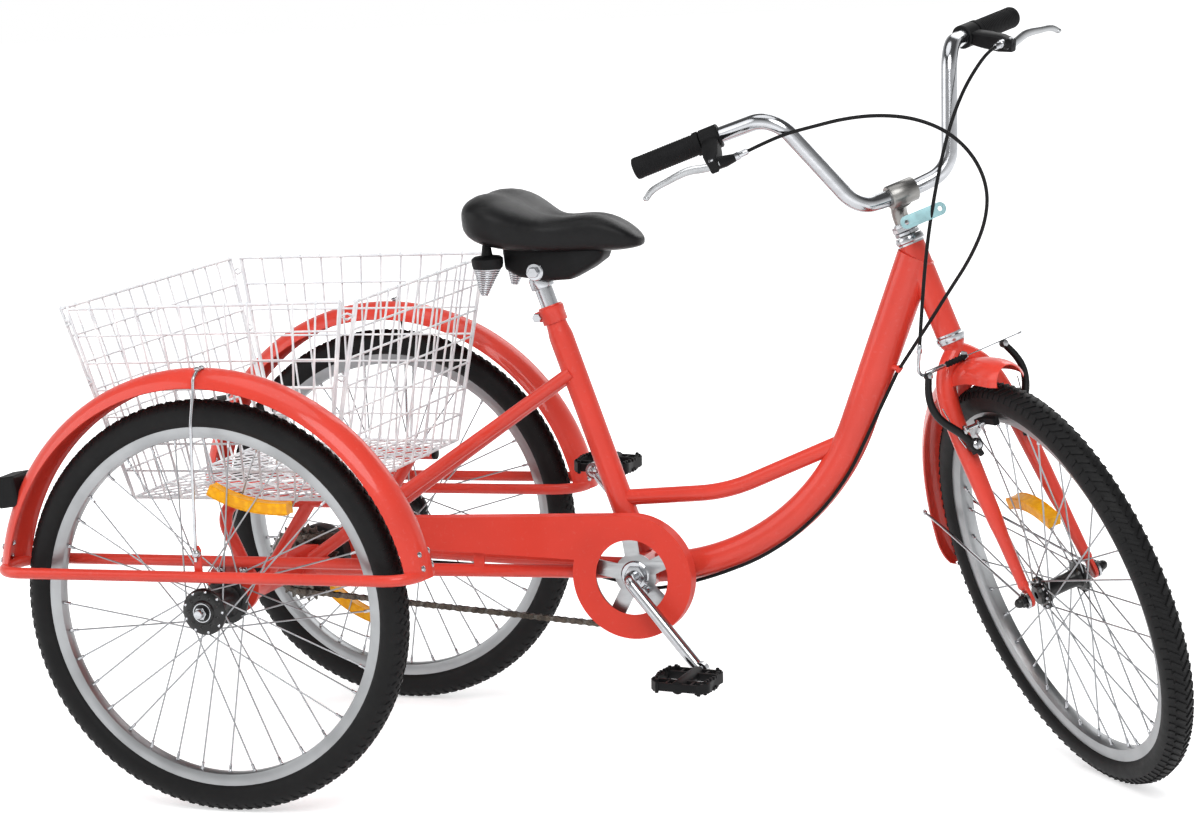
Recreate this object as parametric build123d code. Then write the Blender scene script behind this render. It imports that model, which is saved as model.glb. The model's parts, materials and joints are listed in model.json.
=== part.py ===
from build123d import *

import math
import os

# Adult tricycle: one steered front wheel, two rear wheels and a wire basket between them.
# Millimetres and degrees. While it is built, x = 0 is the rear axle line, +X is forward,
# +Y is the rider's left and +Z is up, with the ground at z = 0. Every solid is moved by
# (ORIGIN_SHIFT, 0, 0) when it is written, so that the origin is under the middle of the tricycle.

# ---------------------------------------------------------------- driving dimensions
# Stance
WHEELBASE = 1145.2
TRACK = 630.0
HEAD_ANGLE = 69.5
RAKE = 30.0
STEER_REST = -50.1

# Wheels
REAR_TYRE_RADIUS = 294.4
FRONT_TYRE_RADIUS = 293.4
TYRE_WIDTH = 44.0
BEAD_RADIUS = 254.0
BEAD_WIDTH = 20.0
RIM_EDGE_RADIUS = 259.5
RIM_INNER_RADIUS = 240.0
RIM_WIDTH = 25.0
SPOKE_RADIUS = 1.1
SPOKE_COUNT = 36
SPOKE_CROSSING = 3
REAR_FLANGE_RADIUS = 33.0
REAR_FLANGE_SPACING = 66.0
REAR_HUB_RADIUS = 21.0
FRONT_FLANGE_RADIUS = 24.0
FRONT_FLANGE_SPACING = 60.0
FRONT_HUB_RADIUS = 13.0
FLANGE_THICKNESS = 4.0
REFLECTOR_HEIGHT = 20.0

# Wheel reflectors: middle radius, first angle, sweep and depth from spokes to spokes
FRONT_REFLECTOR = (136.0, 80.0, 50.0, 29.0)
RIGHT_REFLECTOR = (168.0, 48.0, 42.0, 21.0)
LEFT_REFLECTOR = (176.0, 222.0, 42.0, 21.0)

# Fits
RUNNING_CLEARANCE = 0.3
HALF_TURN = 180.0

# Frame
HEAD_TUBE_RADIUS = 18.0
HEAD_TUBE_BORE = 15.5
HEAD_TUBE_LENGTH = 134.0
HEAD_TUBE_RISE = 41.0
STEERER_RADIUS = 12.7
SEAT_ANGLE = 72.1
SEAT_TUBE_RADIUS = 17.5
SEAT_TUBE_LENGTH = 403.0
SEAT_POST_RADIUS = 12.7
BRACKET_X = 527.0
BRACKET_Z = 288.5
BRACKET_SHELL_RADIUS = 27.0
BRACKET_SHELL_WIDTH = 68.0
DOWN_TUBE_FOOT = (21.0, 21.0)
DOWN_TUBE_HEAD = (26.5, 21.0)
DOWN_TUBE_BEND = 335.0
UPPER_TUBE_RADIUS = 11.5
UPPER_TUBE_BEND = 260.0
CHAIN_STAY_RADIUS = 9.5
SEAT_STAY_RADIUS = 9.5

# Rear axle and carrier
AXLE_RADIUS = 7.5
AXLE_TUBE_RADIUS = 17.0
AXLE_TUBE_BORE = 11.0
CARRIER_HALF_WIDTH = 62.0
DROPOUT_THICKNESS = 6.0
BEARING_PLATE_Y = 252.0
BEARING_PLATE_THICKNESS = 7.0
BEARING_PLATE_RADIUS = 40.0

# Guard rails, rear fenders and their stays
RAIL_HEIGHT = 347.0
RAIL_TUBE_RADIUS = 8.0
RAIL_HALF_WIDTH = 50.0
RAIL_CORNER = 42.0
REAR_FENDER_RADIUS = 338.0
FENDER_HALF_WIDTH = 33.0
FENDER_DEPTH = 22.0
FENDER_SHEET = 1.6
STAY_ROD_RADIUS = 2.5

# Basket
BASKET_FLOOR_Z = 430.0
BASKET_TOP_Z = 710.0
BASKET_FLOOR_X = (-164.0, 145.0)
BASKET_TOP_X = (-229.0, 203.0)
BASKET_FLOOR_HALF_WIDTH = 227.0
BASKET_TOP_HALF_WIDTH = 262.0
BASKET_WIRE = 4.0
BASKET_GAP = 0.3
BASKET_SIDE_GRID = (13, 8)
BASKET_END_GRID = (14, 8)
BASKET_FLOOR_GRID = (19, 13)
SUPPORT_TUBE_RADIUS = 9.5
SUPPORT_Y = 180.0
SUPPORT_FRONT_X = 126.0
SUPPORT_REAR_X = -63.0

# Transmission
CHAIN_LINE = 45.0
CHAIN_PITCH = 12.7
CHAINRING_TEETH = 38
SPROCKET_TEETH = 20
CHAIN_WIDTH = 7.4
CHAIN_CORE_WIDTH = 4.6
CHAIN_HEIGHT = 8.0
CHAIN_PLATE = (19.0, 8.2)
CRANK_LENGTH = 163.0
CRANK_ANGLE = -49.3
CRANK_BAR_RADIUS = 8.5
CRANK_ARM_Y = 78.0
PEDAL_CENTRE_Y = 148.0
PEDAL_SIZE = (62.0, 88.0, 26.0)
PEDAL_PIN_RADIUS = 6.0
GUARD_RADIUS = 89.0
GUARD_HOLE_RADIUS = 54.0
GUARD_REAR_X = 150.0
GUARD_SHEET = 1.6
GUARD_LIP = 22.0
GUARD_CHAIN_GAP = 4.0

# Front end, measured along the steering axis from the foot of the rake
CROWN_DROP = 37.0
FORK_HALF_SPACING = 51.0
BLADE_TOP_RADIUS = 16.0
BLADE_TIP_RADIUS = 8.0
BLADE_TIP_LIFT = 18.0
DROPOUT_PLATE = 5.0
STEERER_RISE = 35.0
BAR_CLAMP_RISE = 31.5
BAR_CLAMP_FORWARD = 28.5
BAR_RADIUS = 11.1
GRIP_RADIUS = 15.5
GRIP_LENGTH = 95.0
FRONT_FENDER_RADIUS = 330.0
FRONT_FENDER_HALF_WIDTH = 30.0
FRONT_STAY_LAP = 6.0

# Headset, bottom bracket and tube junctions
HEADSET_CUP_HEIGHT = 12.0
HEADSET_CUP_RADIUS = 20.0
BRACKET_GAP = 3.0
BRACKET_CUP_RADIUS = 23.0
BRACKET_CUP_HEIGHT = 5.0
DOWN_TUBE_HEAD_UP = 116.0
DOWN_TUBE_SLOPE = 5.5
DOWN_TUBE_RISE = 67.9
UPPER_TUBE_LINE = ((490.0, 0.0, 390.5), (655.0, 0.0, 401.5), (822.0, 0.0, 471.0))
DROPOUT_OUTLINE = ((-20, -22), (24, -22), (62, -9), (62, 9), (40, 34), (18, 34), (-20, 20))
DROPOUT_STAY_X = 40.0
STAY_END_Y = 70.0
STAY_END_SPREAD = (8.0, 14.0)
BEARING_PLATE_LIFT = 16.0
CHAIN_STAY_ROOT_Y = 22.0
CHAIN_STAY_BEND = 300.0
CHAIN_STAY_BEND_X = 430.0
CHAIN_STAY_BEND_Y = 30.0
SEAT_STAY_UP = 300.0
SEAT_STAY_ROOT_Y = 12.0
STAY_LUG_HEIGHT = 40.0
STAY_LUG_WIDTH = 12.0
STAY_LUG_THICKNESS = 3.0
SUPPORT_FOOT_X = -12.0
SUPPORT_BRACE_X = 92.0
SUPPORT_BEND = 32.0
LIGHT_ANGLE = 30.0
LIGHT_SIZE = (36.0, 58.0, 44.0)
LIGHT_TILT = -8.0
LIGHT_SEAT = 6.0
LIGHT_EDGE = 5.0
LENS_RISE = 2.5
LENS_MARGIN = 6.0

# Transmission details
CRANK_FLARE = 14.0
CRANK_BEND = 14.0
PEDAL_EYE_RADIUS = 12.0
PEDAL_EYE_WIDTH = 12.0
PEDAL_TILT = 12.0
CHAINRING_THICKNESS = 3.0
CHAINRING_OPENING = 58.0
CHAINRING_ARM_ANGLE = 25.0
CHAINRING_ARM_WIDTH = 24.0
CHAINRING_HUB_RADIUS = 20.0
TOOTH_DROP = 0.5
GUARD_OUTSET = 17.0
GUARD_TAB_X = 290.0
GUARD_TAB = (16.0, 3.0, 30.0)
GUARD_ARM_REAR_Z = (327.0, 369.0)
GUARD_ARM_FRONT_DROP = -20.0
FREEWHEEL_TEETH = (14, 16, 20, 20, 24, 28)
FREEWHEEL_STEP = 5.0
FREEWHEEL_DISC = 2.0
FREEWHEEL_BODY_RADIUS = 20.0
DRUM_RADIUS = 45.0
DRUM_Y = (12.0, 40.0)
AXLE_OVERHANG = 36.0

# Front end details
CROWN_RADIUS = 12.0
RACE_RADIUS = 17.0
FENDER_BOLT_RADIUS = 5.0
QUILL_RADIUS = 11.0
QUILL_DEPTH = 60.0
STEM_CLAMP_RADIUS = 17.0
STEM_CLAMP_WIDTH = 40.0
LOCKNUT_RADIUS = 17.5
LOCKNUT_HEIGHT = 12.0
BAR_HALF_LINE = ((17.0, 72.0, 12.0), (-30.0, 138.0, 163.0), (-100.0, 195.0, 142.0), (-153.0, 299.0, 124.5))
BAR_BENDS = (45.0, 45.0, 60.0)
BAR_CENTRE_BEND = 160.0
FRONT_AXLE_RADIUS = 4.75
FRONT_AXLE_HALF = 66.0
FRONT_NUT_RADIUS = 9.0
FRONT_NUT_WIDTH = 8.0
FRONT_HUB_HALF = 40.0
BRAKE_PIVOT_UP = 218.7
BRAKE_PIVOT_FORWARD = 52.0
BRAKE_PIVOT_SIDE = 40.0
BRAKE_BOSS_RADIUS = 5.0
BRAKE_BOSS_ROOT = 10.0
BRAKE_BOSS_OVERHANG = 10.0
BRAKE_ARM_TOP_UP = 333.5
BRAKE_ARM_TOP_SIDE = 62.0
BRAKE_ARM_SECTION = (13.0, 14.0)
BRAKE_PAD_RADII = (243.0, 252.0)
BRAKE_PAD_ANGLE = 105.5
BRAKE_PAD_SWEEP = 12.0
BRAKE_PAD_THICKNESS = 8.0
BRAKE_PAD_GAP = 2.5
BRAKE_POST_RADIUS = 4.0
FRONT_FENDER_START = 92.0
FRONT_FENDER_END = 192.0
FRONT_STAY_ANGLE = 175.0
FRONT_STAY_RADIUS = 2.0
STAY_EYE_GAP = 1.0
LEVER_CLAMP_WIDTH = 26.0
LEVER_CLAMP_RADIUS = 17.0
LEVER_LINE = ((-50.0, 205.0, 121.0), (-42.0, 240.0, 116.0), (-72.0, 323.0, 109.0))
LEVER_RADIUS = 5.0
LEVER_BEND = 40.0
REFLECTOR_ARM_RISE = 26.0
REFLECTOR_ARM_FORWARD = 78.0
REFLECTOR_PLATE_LIFT = 5.0
FRONT_REFLECTOR_SIZE = (4.0, 54.0, 22.0)

# Saddle, measured from the top of the seat post: x, half width, underside and top of each section
SADDLE_SECTIONS = (
    (-85.0, 62.0, 69.5, 99.5),
    (-66.0, 98.0, 51.5, 116.5),
    (-26.0, 108.0, 37.5, 110.5),
    (32.0, 74.0, 26.5, 84.5),
    (92.0, 42.0, 25.5, 78.5),
    (142.0, 27.0, 31.5, 64.5),
    (162.0, 14.0, 39.5, 49.5),
)
SADDLE_PAN_X = (-36.0, 104.0)
SADDLE_PAN_Z = (-6.5, 49.5)
SADDLE_PAN_HALF_WIDTH = 34.0
SEAT_POST_RISE = 49.0
SEAT_POST_INSERT = 100.0
SEAT_COLLAR_RADIUS = 20.5
SEAT_COLLAR_HEIGHT = 14.0
SPRING_X = -53.0
SPRING_Y = 62.0
SPRING_TOP_RADIUS = 22.0
SPRING_FOOT_RADIUS = 10.0
SPRING_HEIGHT = 48.0

# Cables
CABLE_RADIUS = 2.5
WIRE_RADIUS = 1.0
NOODLE_RADIUS = 2.2
NOODLE_BEND = 14.0
NOODLE_REACH = 24.0
NOODLE_LIFT = 3.0
CABLE_STOP_RADIUS = 4.0
CABLE_STOP_LENGTH = 8.0
CABLE_STOP_GAP = 1.4
CABLE_STOP_FRACTION = 0.76
BARREL_RADIUS = 4.5
# Front brake cable with the front end straight ahead, from the left lever to the noodle.
FRONT_CABLE = (
    (909.2, 189.6, 943.4),
    (931.0, 168.0, 944.0),
    (932.0, 147.0, 921.0),
    (950.0, 125.0, 890.0),
    (967.0, 97.0, 853.0),
    (981.0, 58.0, 812.0),
    (990.0, 20.0, 774.0),
    (1006.0, -18.0, 735.0),
    (1031.0, -48.0, 688.0),
    (1042.0, -68.0, 640.0),
)
# Rear brake cable at rest, from the right lever round to the stop on the down tube.
REAR_CABLE_LOOP = (
    (758.1, -146.6, 893.8),
    (803.0, -139.0, 914.0),
    (851.0, -150.0, 925.0),
    (905.0, -164.0, 937.0),
    (958.0, -174.0, 941.0),
    (1005.0, -170.0, 934.0),
    (1046.0, -163.0, 914.0),
    (1076.0, -156.0, 880.0),
    (1087.0, -139.0, 836.0),
    (1073.0, -109.0, 787.0),
    (1041.0, -76.0, 736.0),
    (1004.0, -52.0, 690.0),
    (968.0, -40.0, 641.0),
    (920.6, -12.3, 581.1),
)
# Rear brake cable along the frame: first under the down tube, at these fractions of its
# length, then past the bottom bracket and along the left chain stay to the brake drum.
REAR_CABLE_START = (915.0, -9.0, 574.0)
REAR_CABLE_FRACTIONS = (0.62, 0.53, 0.44, 0.35, 0.26, 0.16)
REAR_CABLE_OFFSET = 5.0
REAR_CABLE_FLANK = 50.0
REAR_CABLE_TAIL = (
    (575.0, -10.0, 266.0),
    (527.0, 6.0, 256.5),
    (462.0, 21.0, 267.0),
    (410.0, 31.0, 275.0),
    (340.0, 39.0, 276.5),
    (250.0, 48.8, 276.6),
    (160.0, 56.6, 278.8),
    (102.0, 58.0, 273.0),
    (62.0, 42.0, 264.0),
)

# ---------------------------------------------------------------- derived places
HALF_TRACK = TRACK / 2
TYRE_SECTION_RADIUS = TYRE_WIDTH / 2
STEER = math.radians(STEER_REST)
HEAD = math.radians(HEAD_ANGLE)
SEAT = math.radians(SEAT_ANGLE)

AXIS_UP = Vector(-math.cos(HEAD), 0, math.sin(HEAD))
AXIS_FORWARD = Vector(math.sin(HEAD), 0, math.cos(HEAD))

# The steered front tyre touches the ground: its plane's normal leans by NORMAL_Z when it turns.
NORMAL_Z = math.sin(STEER) * math.cos(HEAD)
NORMAL_X = math.sin(STEER) * math.sin(HEAD)
FRONT_RING_RADIUS = FRONT_TYRE_RADIUS - TYRE_SECTION_RADIUS
STEERED_CENTRE_Z = FRONT_RING_RADIUS * math.sqrt(1 - NORMAL_Z ** 2) + TYRE_SECTION_RADIUS
FOOT = Vector(
    WHEELBASE - RAKE * math.sin(HEAD),
    0,
    STEERED_CENTRE_Z - RAKE * math.cos(STEER) * math.cos(HEAD),
)
STEERED_CENTRE_X = FOOT.X + RAKE * math.cos(STEER) * math.sin(HEAD)
FRONT_END_X = STEERED_CENTRE_X + FRONT_RING_RADIUS * math.sqrt(1 - NORMAL_X ** 2) + TYRE_SECTION_RADIUS
REAR_END_X = -REAR_FENDER_RADIUS
ORIGIN_SHIFT = -(FRONT_END_X + REAR_END_X) / 2

STEERING_AXIS = Axis(FOOT, AXIS_UP)
REAR_AXLE = Vector(0, 0, REAR_TYRE_RADIUS)
BRACKET = Vector(BRACKET_X, 0, BRACKET_Z)
FRONT_CENTRE = FOOT + AXIS_FORWARD * RAKE
SEAT_UP = Vector(-math.cos(SEAT), 0, math.sin(SEAT))
POST_TOP = BRACKET + SEAT_UP * (SEAT_TUBE_LENGTH + SEAT_POST_RISE)

# Along the steering axis, each from the piece below it; the fender is the lowest.
HEAD_TUBE_BASE = FRONT_FENDER_RADIUS + HEAD_TUBE_RISE
FORK_CROWN_BASE = HEAD_TUBE_BASE - CROWN_DROP
STEERER_TOP = HEAD_TUBE_BASE + HEAD_TUBE_LENGTH + STEERER_RISE
BAR_CLAMP_UP = STEERER_TOP + BAR_CLAMP_RISE
REFLECTOR_ARM_UP = HEAD_TUBE_BASE + HEAD_TUBE_LENGTH + REFLECTOR_ARM_RISE

# The guard rails end where the fenders come down to them.
RAIL_DROP = RAIL_HEIGHT - REAR_TYRE_RADIUS
RAIL_HALF_LENGTH = math.sqrt((REAR_FENDER_RADIUS - FENDER_DEPTH / 2) ** 2 - RAIL_DROP ** 2)


def head_point(up, forward=0.0, side=0.0):
    """A point of the front end while it points straight ahead."""
    return FOOT + AXIS_UP * up + AXIS_FORWARD * forward + Vector(0, side, 0)


def steered(shape):
    """Turn a front-end solid from straight ahead to its rest position."""
    return shape.rotate(STEERING_AXIS, STEER_REST)


def straightened(point):
    """A point of the turned front end, while it points straight ahead."""
    return FOOT + (Vector(*point) - FOOT).rotate(Axis((0, 0, 0), AXIS_UP), -STEER_REST)


def mirrored(shape):
    """The same solid on the other side of the tricycle's middle plane."""
    return mirror(shape, about=Plane.XZ)


def tube(points, radius, bends=None, bore=0.0):
    """A round tube along straight runs joined by tangent arcs."""
    path = FilletPolyline(*points, radius=bends) if bends else Polyline(*points)
    section = Plane(origin=path @ 0, z_dir=path % 0) * Circle(radius)
    solid = sweep(section, path=path)
    if bore:
        solid -= sweep(Plane(origin=path @ 0, z_dir=path % 0) * Circle(bore), path=path)
    return solid


def rod(start, end, radius, bore=0.0, end_radius=None):
    """A straight round bar, or a cone where end_radius is given."""
    start, end = Vector(*start), Vector(*end)
    direction = end - start
    plane = Plane(origin=(start + end) / 2, z_dir=direction)
    if end_radius is None:
        solid = plane * Cylinder(radius, direction.length)
    else:
        solid = plane * Cone(radius, end_radius, direction.length)
    if bore:
        solid -= plane * Cylinder(bore, direction.length * 2)
    return solid


def across(centre, radius, y_from, y_to, bore=0.0):
    """A round bar parallel to Y through centre."""
    return rod((centre.X, y_from, centre.Z), (centre.X, y_to, centre.Z), radius, bore)


def plate(outline, y_from, y_to):
    """A flat plate: an outline in X and Z, given in order, between two Y planes."""
    face = Plane.XZ.offset(-y_from) * make_face(Polyline(*outline, close=True))
    return extrude(face, y_to - y_from, dir=(0, 1, 0))


# ---------------------------------------------------------------- wheels
def wheel_section(centre, sketch):
    """Turn a sketch of radius against width into a ring round the wheel centre."""
    return revolve(Plane(origin=centre, x_dir=(1, 0, 0), z_dir=(0, 0, 1)) * sketch, Axis(centre, (0, 1, 0)))


def tyre(centre, outer_radius):
    ring_radius = outer_radius - TYRE_SECTION_RADIUS
    casing = Pos(ring_radius, 0) * Circle(TYRE_SECTION_RADIUS)
    casing -= Pos(RIM_EDGE_RADIUS / 2, 0) * Rectangle(RIM_EDGE_RADIUS + 1, 4 * TYRE_WIDTH)
    bead_height = RIM_EDGE_RADIUS + 2 - BEAD_RADIUS
    casing += Pos(BEAD_RADIUS + bead_height / 2, 0) * Rectangle(bead_height, BEAD_WIDTH)
    return wheel_section(centre, casing)


def rim(centre):
    depth = BEAD_RADIUS - RIM_INNER_RADIUS
    section = Pos(RIM_INNER_RADIUS + depth / 2, 0) * Trapezoid(RIM_WIDTH, depth, 75, rotation=90)
    flange_height = RIM_EDGE_RADIUS - RIM_INNER_RADIUS - depth / 2
    flange_width = (RIM_WIDTH - BEAD_WIDTH) / 2
    for side in (-1, 1):
        flange_y = side * (RIM_WIDTH - flange_width) / 2
        section += Pos(RIM_EDGE_RADIUS - flange_height / 2, flange_y) * Rectangle(flange_height, flange_width)
    return wheel_section(centre, section)


def spokes(centre, flange_radius, flange_spacing):
    """Crossed spokes from both flanges to the rim, alternating side by side."""
    bars = []
    hole_radius = flange_radius - FLANGE_THICKNESS
    reach = RIM_INNER_RADIUS + 2
    step = 360 / SPOKE_COUNT
    lead = SPOKE_CROSSING * 360 / (SPOKE_COUNT / 2)
    for index in range(SPOKE_COUNT):
        side = 1 if index % 2 else -1
        turn = 1 if (index // 2) % 2 else -1
        rim_angle = math.radians(index * step)
        hub_angle = math.radians(index * step + turn * lead)
        flange_y = side * (flange_spacing / 2)
        start = centre + Vector(hole_radius * math.cos(hub_angle), flange_y, hole_radius * math.sin(hub_angle))
        end = centre + Vector(reach * math.cos(rim_angle), 0, reach * math.sin(rim_angle))
        bars.append(rod(start, end, SPOKE_RADIUS))
    return bars


def hub(centre, body_radius, flange_radius, flange_spacing, bore, half_length):
    shell = across(centre, body_radius, centre.Y - half_length, centre.Y + half_length)
    for side in (-1, 1):
        flange_y = centre.Y + side * flange_spacing / 2
        shell += across(centre, flange_radius, flange_y - FLANGE_THICKNESS / 2, flange_y + FLANGE_THICKNESS / 2)
    return shell - across(centre, bore, centre.Y - 2 * half_length, centre.Y + 2 * half_length)


def laced_wheel(centre, hub_shell, flange_radius, flange_spacing):
    """Rim, spokes and hub shell in one piece."""
    wheel = rim(centre)
    for bar in spokes(centre, flange_radius, flange_spacing):
        wheel += bar
    return wheel + hub_shell


def ring_arc(centre, radii, widths, start_angle, sweep_angle):
    """Part of a ring round a wheel; angles go from straight ahead up over the wheel."""
    section = Pos(sum(radii) / 2, sum(widths) / 2) * Rectangle(radii[1] - radii[0], abs(widths[1] - widths[0]))
    plane = Plane(origin=centre, x_dir=(1, 0, 0), z_dir=(0, 0, 1))
    arc = revolve(plane * section, Axis(centre, (0, -1, 0)), sweep_angle)
    return arc.rotate(Axis(centre, (0, -1, 0)), start_angle)


def wheel_reflector(centre, place, flange_radius, flange_spacing):
    """Curved reflector held between the spokes of both flanges."""
    radius, start_angle, sweep_angle, depth = place
    radii = (radius - REFLECTOR_HEIGHT / 2, radius + REFLECTOR_HEIGHT / 2)
    body = ring_arc(centre, radii, (-depth / 2, depth / 2), start_angle, sweep_angle)
    for bar in spokes(centre, flange_radius, flange_spacing):
        body -= bar
    return largest(body)


# ---------------------------------------------------------------- frame tubes
def head_tube():
    base = head_point(HEAD_TUBE_BASE)
    return rod(base, base + AXIS_UP * HEAD_TUBE_LENGTH, HEAD_TUBE_RADIUS, HEAD_TUBE_BORE)


def headset_cups():
    """Bearing cups pressed against both ends of the head tube; the steerer turns in them."""
    bore = STEERER_RADIUS + RUNNING_CLEARANCE
    cups = []
    for up, direction in ((HEAD_TUBE_BASE, -1), (HEAD_TUBE_BASE + HEAD_TUBE_LENGTH, 1)):
        seat = head_point(up)
        cups.append(rod(seat, seat + AXIS_UP * direction * HEADSET_CUP_HEIGHT, HEADSET_CUP_RADIUS, bore))
    return cups


def bracket_shell():
    half = BRACKET_SHELL_WIDTH / 2
    return across(BRACKET, BRACKET_SHELL_RADIUS, -half, half, CRANK_BAR_RADIUS + BRACKET_GAP)


def bracket_cups():
    """Bearing cups at both ends of the shell; the crank turns in them."""
    half = BRACKET_SHELL_WIDTH / 2
    bore = CRANK_BAR_RADIUS + RUNNING_CLEARANCE
    return [
        across(BRACKET, BRACKET_CUP_RADIUS, side * half, side * (half + BRACKET_CUP_HEIGHT), bore)
        for side in (-1, 1)
    ]


def seat_tube():
    return rod(BRACKET, BRACKET + SEAT_UP * SEAT_TUBE_LENGTH, SEAT_TUBE_RADIUS, SEAT_POST_RADIUS)


def down_tube_path():
    """Centre line of the main tube: nearly level at the bracket, then one large bend."""
    head_end = head_point(HEAD_TUBE_BASE + DOWN_TUBE_HEAD_UP)
    run = math.radians(DOWN_TUBE_SLOPE)
    rise = math.radians(DOWN_TUBE_RISE)
    # Corner where the low run from the bracket meets the rise to the head tube.
    gap_x = head_end.X - BRACKET.X
    gap_z = head_end.Z - BRACKET.Z
    low_run = (gap_z - gap_x * math.tan(rise)) / (math.tan(run) - math.tan(rise))
    corner = BRACKET + Vector(low_run, 0, low_run * math.tan(run))
    return FilletPolyline(BRACKET, corner, head_end, radius=DOWN_TUBE_BEND)


def down_tube():
    """The main tube, deeper towards the head tube."""
    path = down_tube_path()
    sections = [
        Plane(origin=path @ 0, x_dir=(0, 1, 0), z_dir=path % 0) * Ellipse(DOWN_TUBE_FOOT[1], DOWN_TUBE_FOOT[0]),
        Plane(origin=path @ 1, x_dir=(0, 1, 0), z_dir=path % 1) * Ellipse(DOWN_TUBE_HEAD[1], DOWN_TUBE_HEAD[0]),
    ]
    return sweep(sections, path=path, multisection=True)


def rear_cable_route():
    """Points of the rear cable under the down tube and on to the brake drum."""
    path = down_tube_path()
    points = [REAR_CABLE_START]
    for fraction in REAR_CABLE_FRACTIONS:
        along = path % fraction
        half_depth = DOWN_TUBE_FOOT[0] + (DOWN_TUBE_HEAD[0] - DOWN_TUBE_FOOT[0]) * fraction
        flank = math.radians(REAR_CABLE_FLANK)
        below = (half_depth + REAR_CABLE_OFFSET) * math.sin(flank)
        beside = (DOWN_TUBE_FOOT[1] + REAR_CABLE_OFFSET) * math.cos(flank)
        point = path @ fraction + Vector(along.Z, 0, -along.X) * below
        points.append((point.X, -beside, point.Z))
    return points + list(REAR_CABLE_TAIL)


def cable_stop():
    """Stop under the down tube, between the cable's loop and its run along the frame."""
    foot = Vector(*REAR_CABLE_START)
    toward = (Vector(*REAR_CABLE_LOOP[-2]) - foot).normalized()
    low = foot + toward * CABLE_STOP_GAP
    high = low + toward * CABLE_STOP_LENGTH
    web = rod((low + high) / 2, down_tube_path() @ CABLE_STOP_FRACTION, CABLE_STOP_RADIUS)
    return rod(low, high, CABLE_STOP_RADIUS) + web


def upper_tube():
    """The slim brace from the seat tube to the rise of the down tube."""
    points = [Vector(*point) for point in UPPER_TUBE_LINE]
    return tube(points, UPPER_TUBE_RADIUS, UPPER_TUBE_BEND)


def dropout(bore=AXLE_RADIUS + RUNNING_CLEARANCE):
    """Inner plate on the right: it carries the axle tube, the chain stay and the seat stay."""
    y_to = -CARRIER_HALF_WIDTH
    outline = [(REAR_AXLE.X + x, REAR_AXLE.Z + z) for x, z in DROPOUT_OUTLINE]
    solid = plate(outline, y_to - DROPOUT_THICKNESS, y_to)
    if bore:
        solid -= across(REAR_AXLE, bore, y_to - 2 * DROPOUT_THICKNESS, y_to + DROPOUT_THICKNESS)
    return solid


def axle_tube():
    y_in = -CARRIER_HALF_WIDTH - DROPOUT_THICKNESS
    return across(REAR_AXLE, AXLE_TUBE_RADIUS, -BEARING_PLATE_Y, y_in, AXLE_TUBE_BORE)


def bearing_plate():
    """Round plate at the outer end of the axle tube; the guard rail is welded to its rim."""
    y_out = -BEARING_PLATE_Y - BEARING_PLATE_THICKNESS
    centre = REAR_AXLE + Vector(0, 0, BEARING_PLATE_LIFT)
    solid = across(centre, BEARING_PLATE_RADIUS, y_out, -BEARING_PLATE_Y)
    return solid - across(REAR_AXLE, AXLE_RADIUS + RUNNING_CLEARANCE, 2 * y_out, 0)


def chain_stay():
    start = BRACKET + Vector(0, -CHAIN_STAY_ROOT_Y, 0)
    end = Vector(DROPOUT_STAY_X, -STAY_END_Y, REAR_AXLE.Z)
    middle = Vector(CHAIN_STAY_BEND_X, -CHAIN_STAY_BEND_Y, BRACKET.Z)
    return tube([start, middle, end], CHAIN_STAY_RADIUS, CHAIN_STAY_BEND)


def seat_stay():
    start = BRACKET + SEAT_UP * SEAT_STAY_UP + Vector(0, -SEAT_STAY_ROOT_Y, 0)
    end = Vector(DROPOUT_STAY_X - STAY_END_SPREAD[0], -STAY_END_Y, REAR_AXLE.Z + STAY_END_SPREAD[1])
    return rod(start, end, SEAT_STAY_RADIUS)


def guard_rail():
    """Closed tube loop round a rear wheel."""
    loop = Pos(0, -HALF_TRACK, RAIL_HEIGHT) * RectangleRounded(2 * RAIL_HALF_LENGTH, 2 * RAIL_HALF_WIDTH, RAIL_CORNER)
    path = loop.wire()
    return sweep(Plane(origin=path @ 0, z_dir=path % 0) * Circle(RAIL_TUBE_RADIUS), path=path)


# ---------------------------------------------------------------- fenders and stays
def fender(centre, radius, half_width, start_angle, end_angle):
    """Curved sheet round a wheel; angles go from straight ahead up over the wheel."""
    edge = radius - FENDER_DEPTH
    outer = ThreePointArc((edge, -half_width), (radius, 0), (edge, half_width))
    inner_width = half_width - FENDER_SHEET
    inner = ThreePointArc((edge, inner_width), (radius - FENDER_SHEET, 0), (edge, -inner_width))
    ends = [Line(outer @ 1, inner @ 0), Line(inner @ 1, outer @ 0)]
    section = make_face([outer, ends[0], inner, ends[1]])
    plane = Plane(origin=centre, x_dir=(1, 0, 0), z_dir=(0, 0, 1))
    sheet = revolve(plane * section, Axis(centre, (0, -1, 0)), end_angle - start_angle)
    return sheet.rotate(Axis(centre, (0, -1, 0)), start_angle)


def fender_core(centre, radius, half_width):
    """Everything under a fender's outer face, for fitting a part onto it."""
    edge = radius - FENDER_DEPTH
    outer = ThreePointArc((edge, -half_width), (radius, 0), (edge, half_width))
    section = make_face([outer, Line(outer @ 1, outer @ 0)])
    depth = edge - REAR_TYRE_RADIUS / 2
    section += Pos(edge - depth / 2, 0) * Rectangle(depth, 2 * half_width)
    return wheel_section(centre, section)


def rear_fender():
    centre = REAR_AXLE + Vector(0, -HALF_TRACK, 0)
    start = math.degrees(math.atan2(RAIL_DROP, RAIL_HALF_LENGTH))
    return fender(centre, REAR_FENDER_RADIUS, FENDER_HALF_WIDTH, start, HALF_TURN - start)


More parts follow.
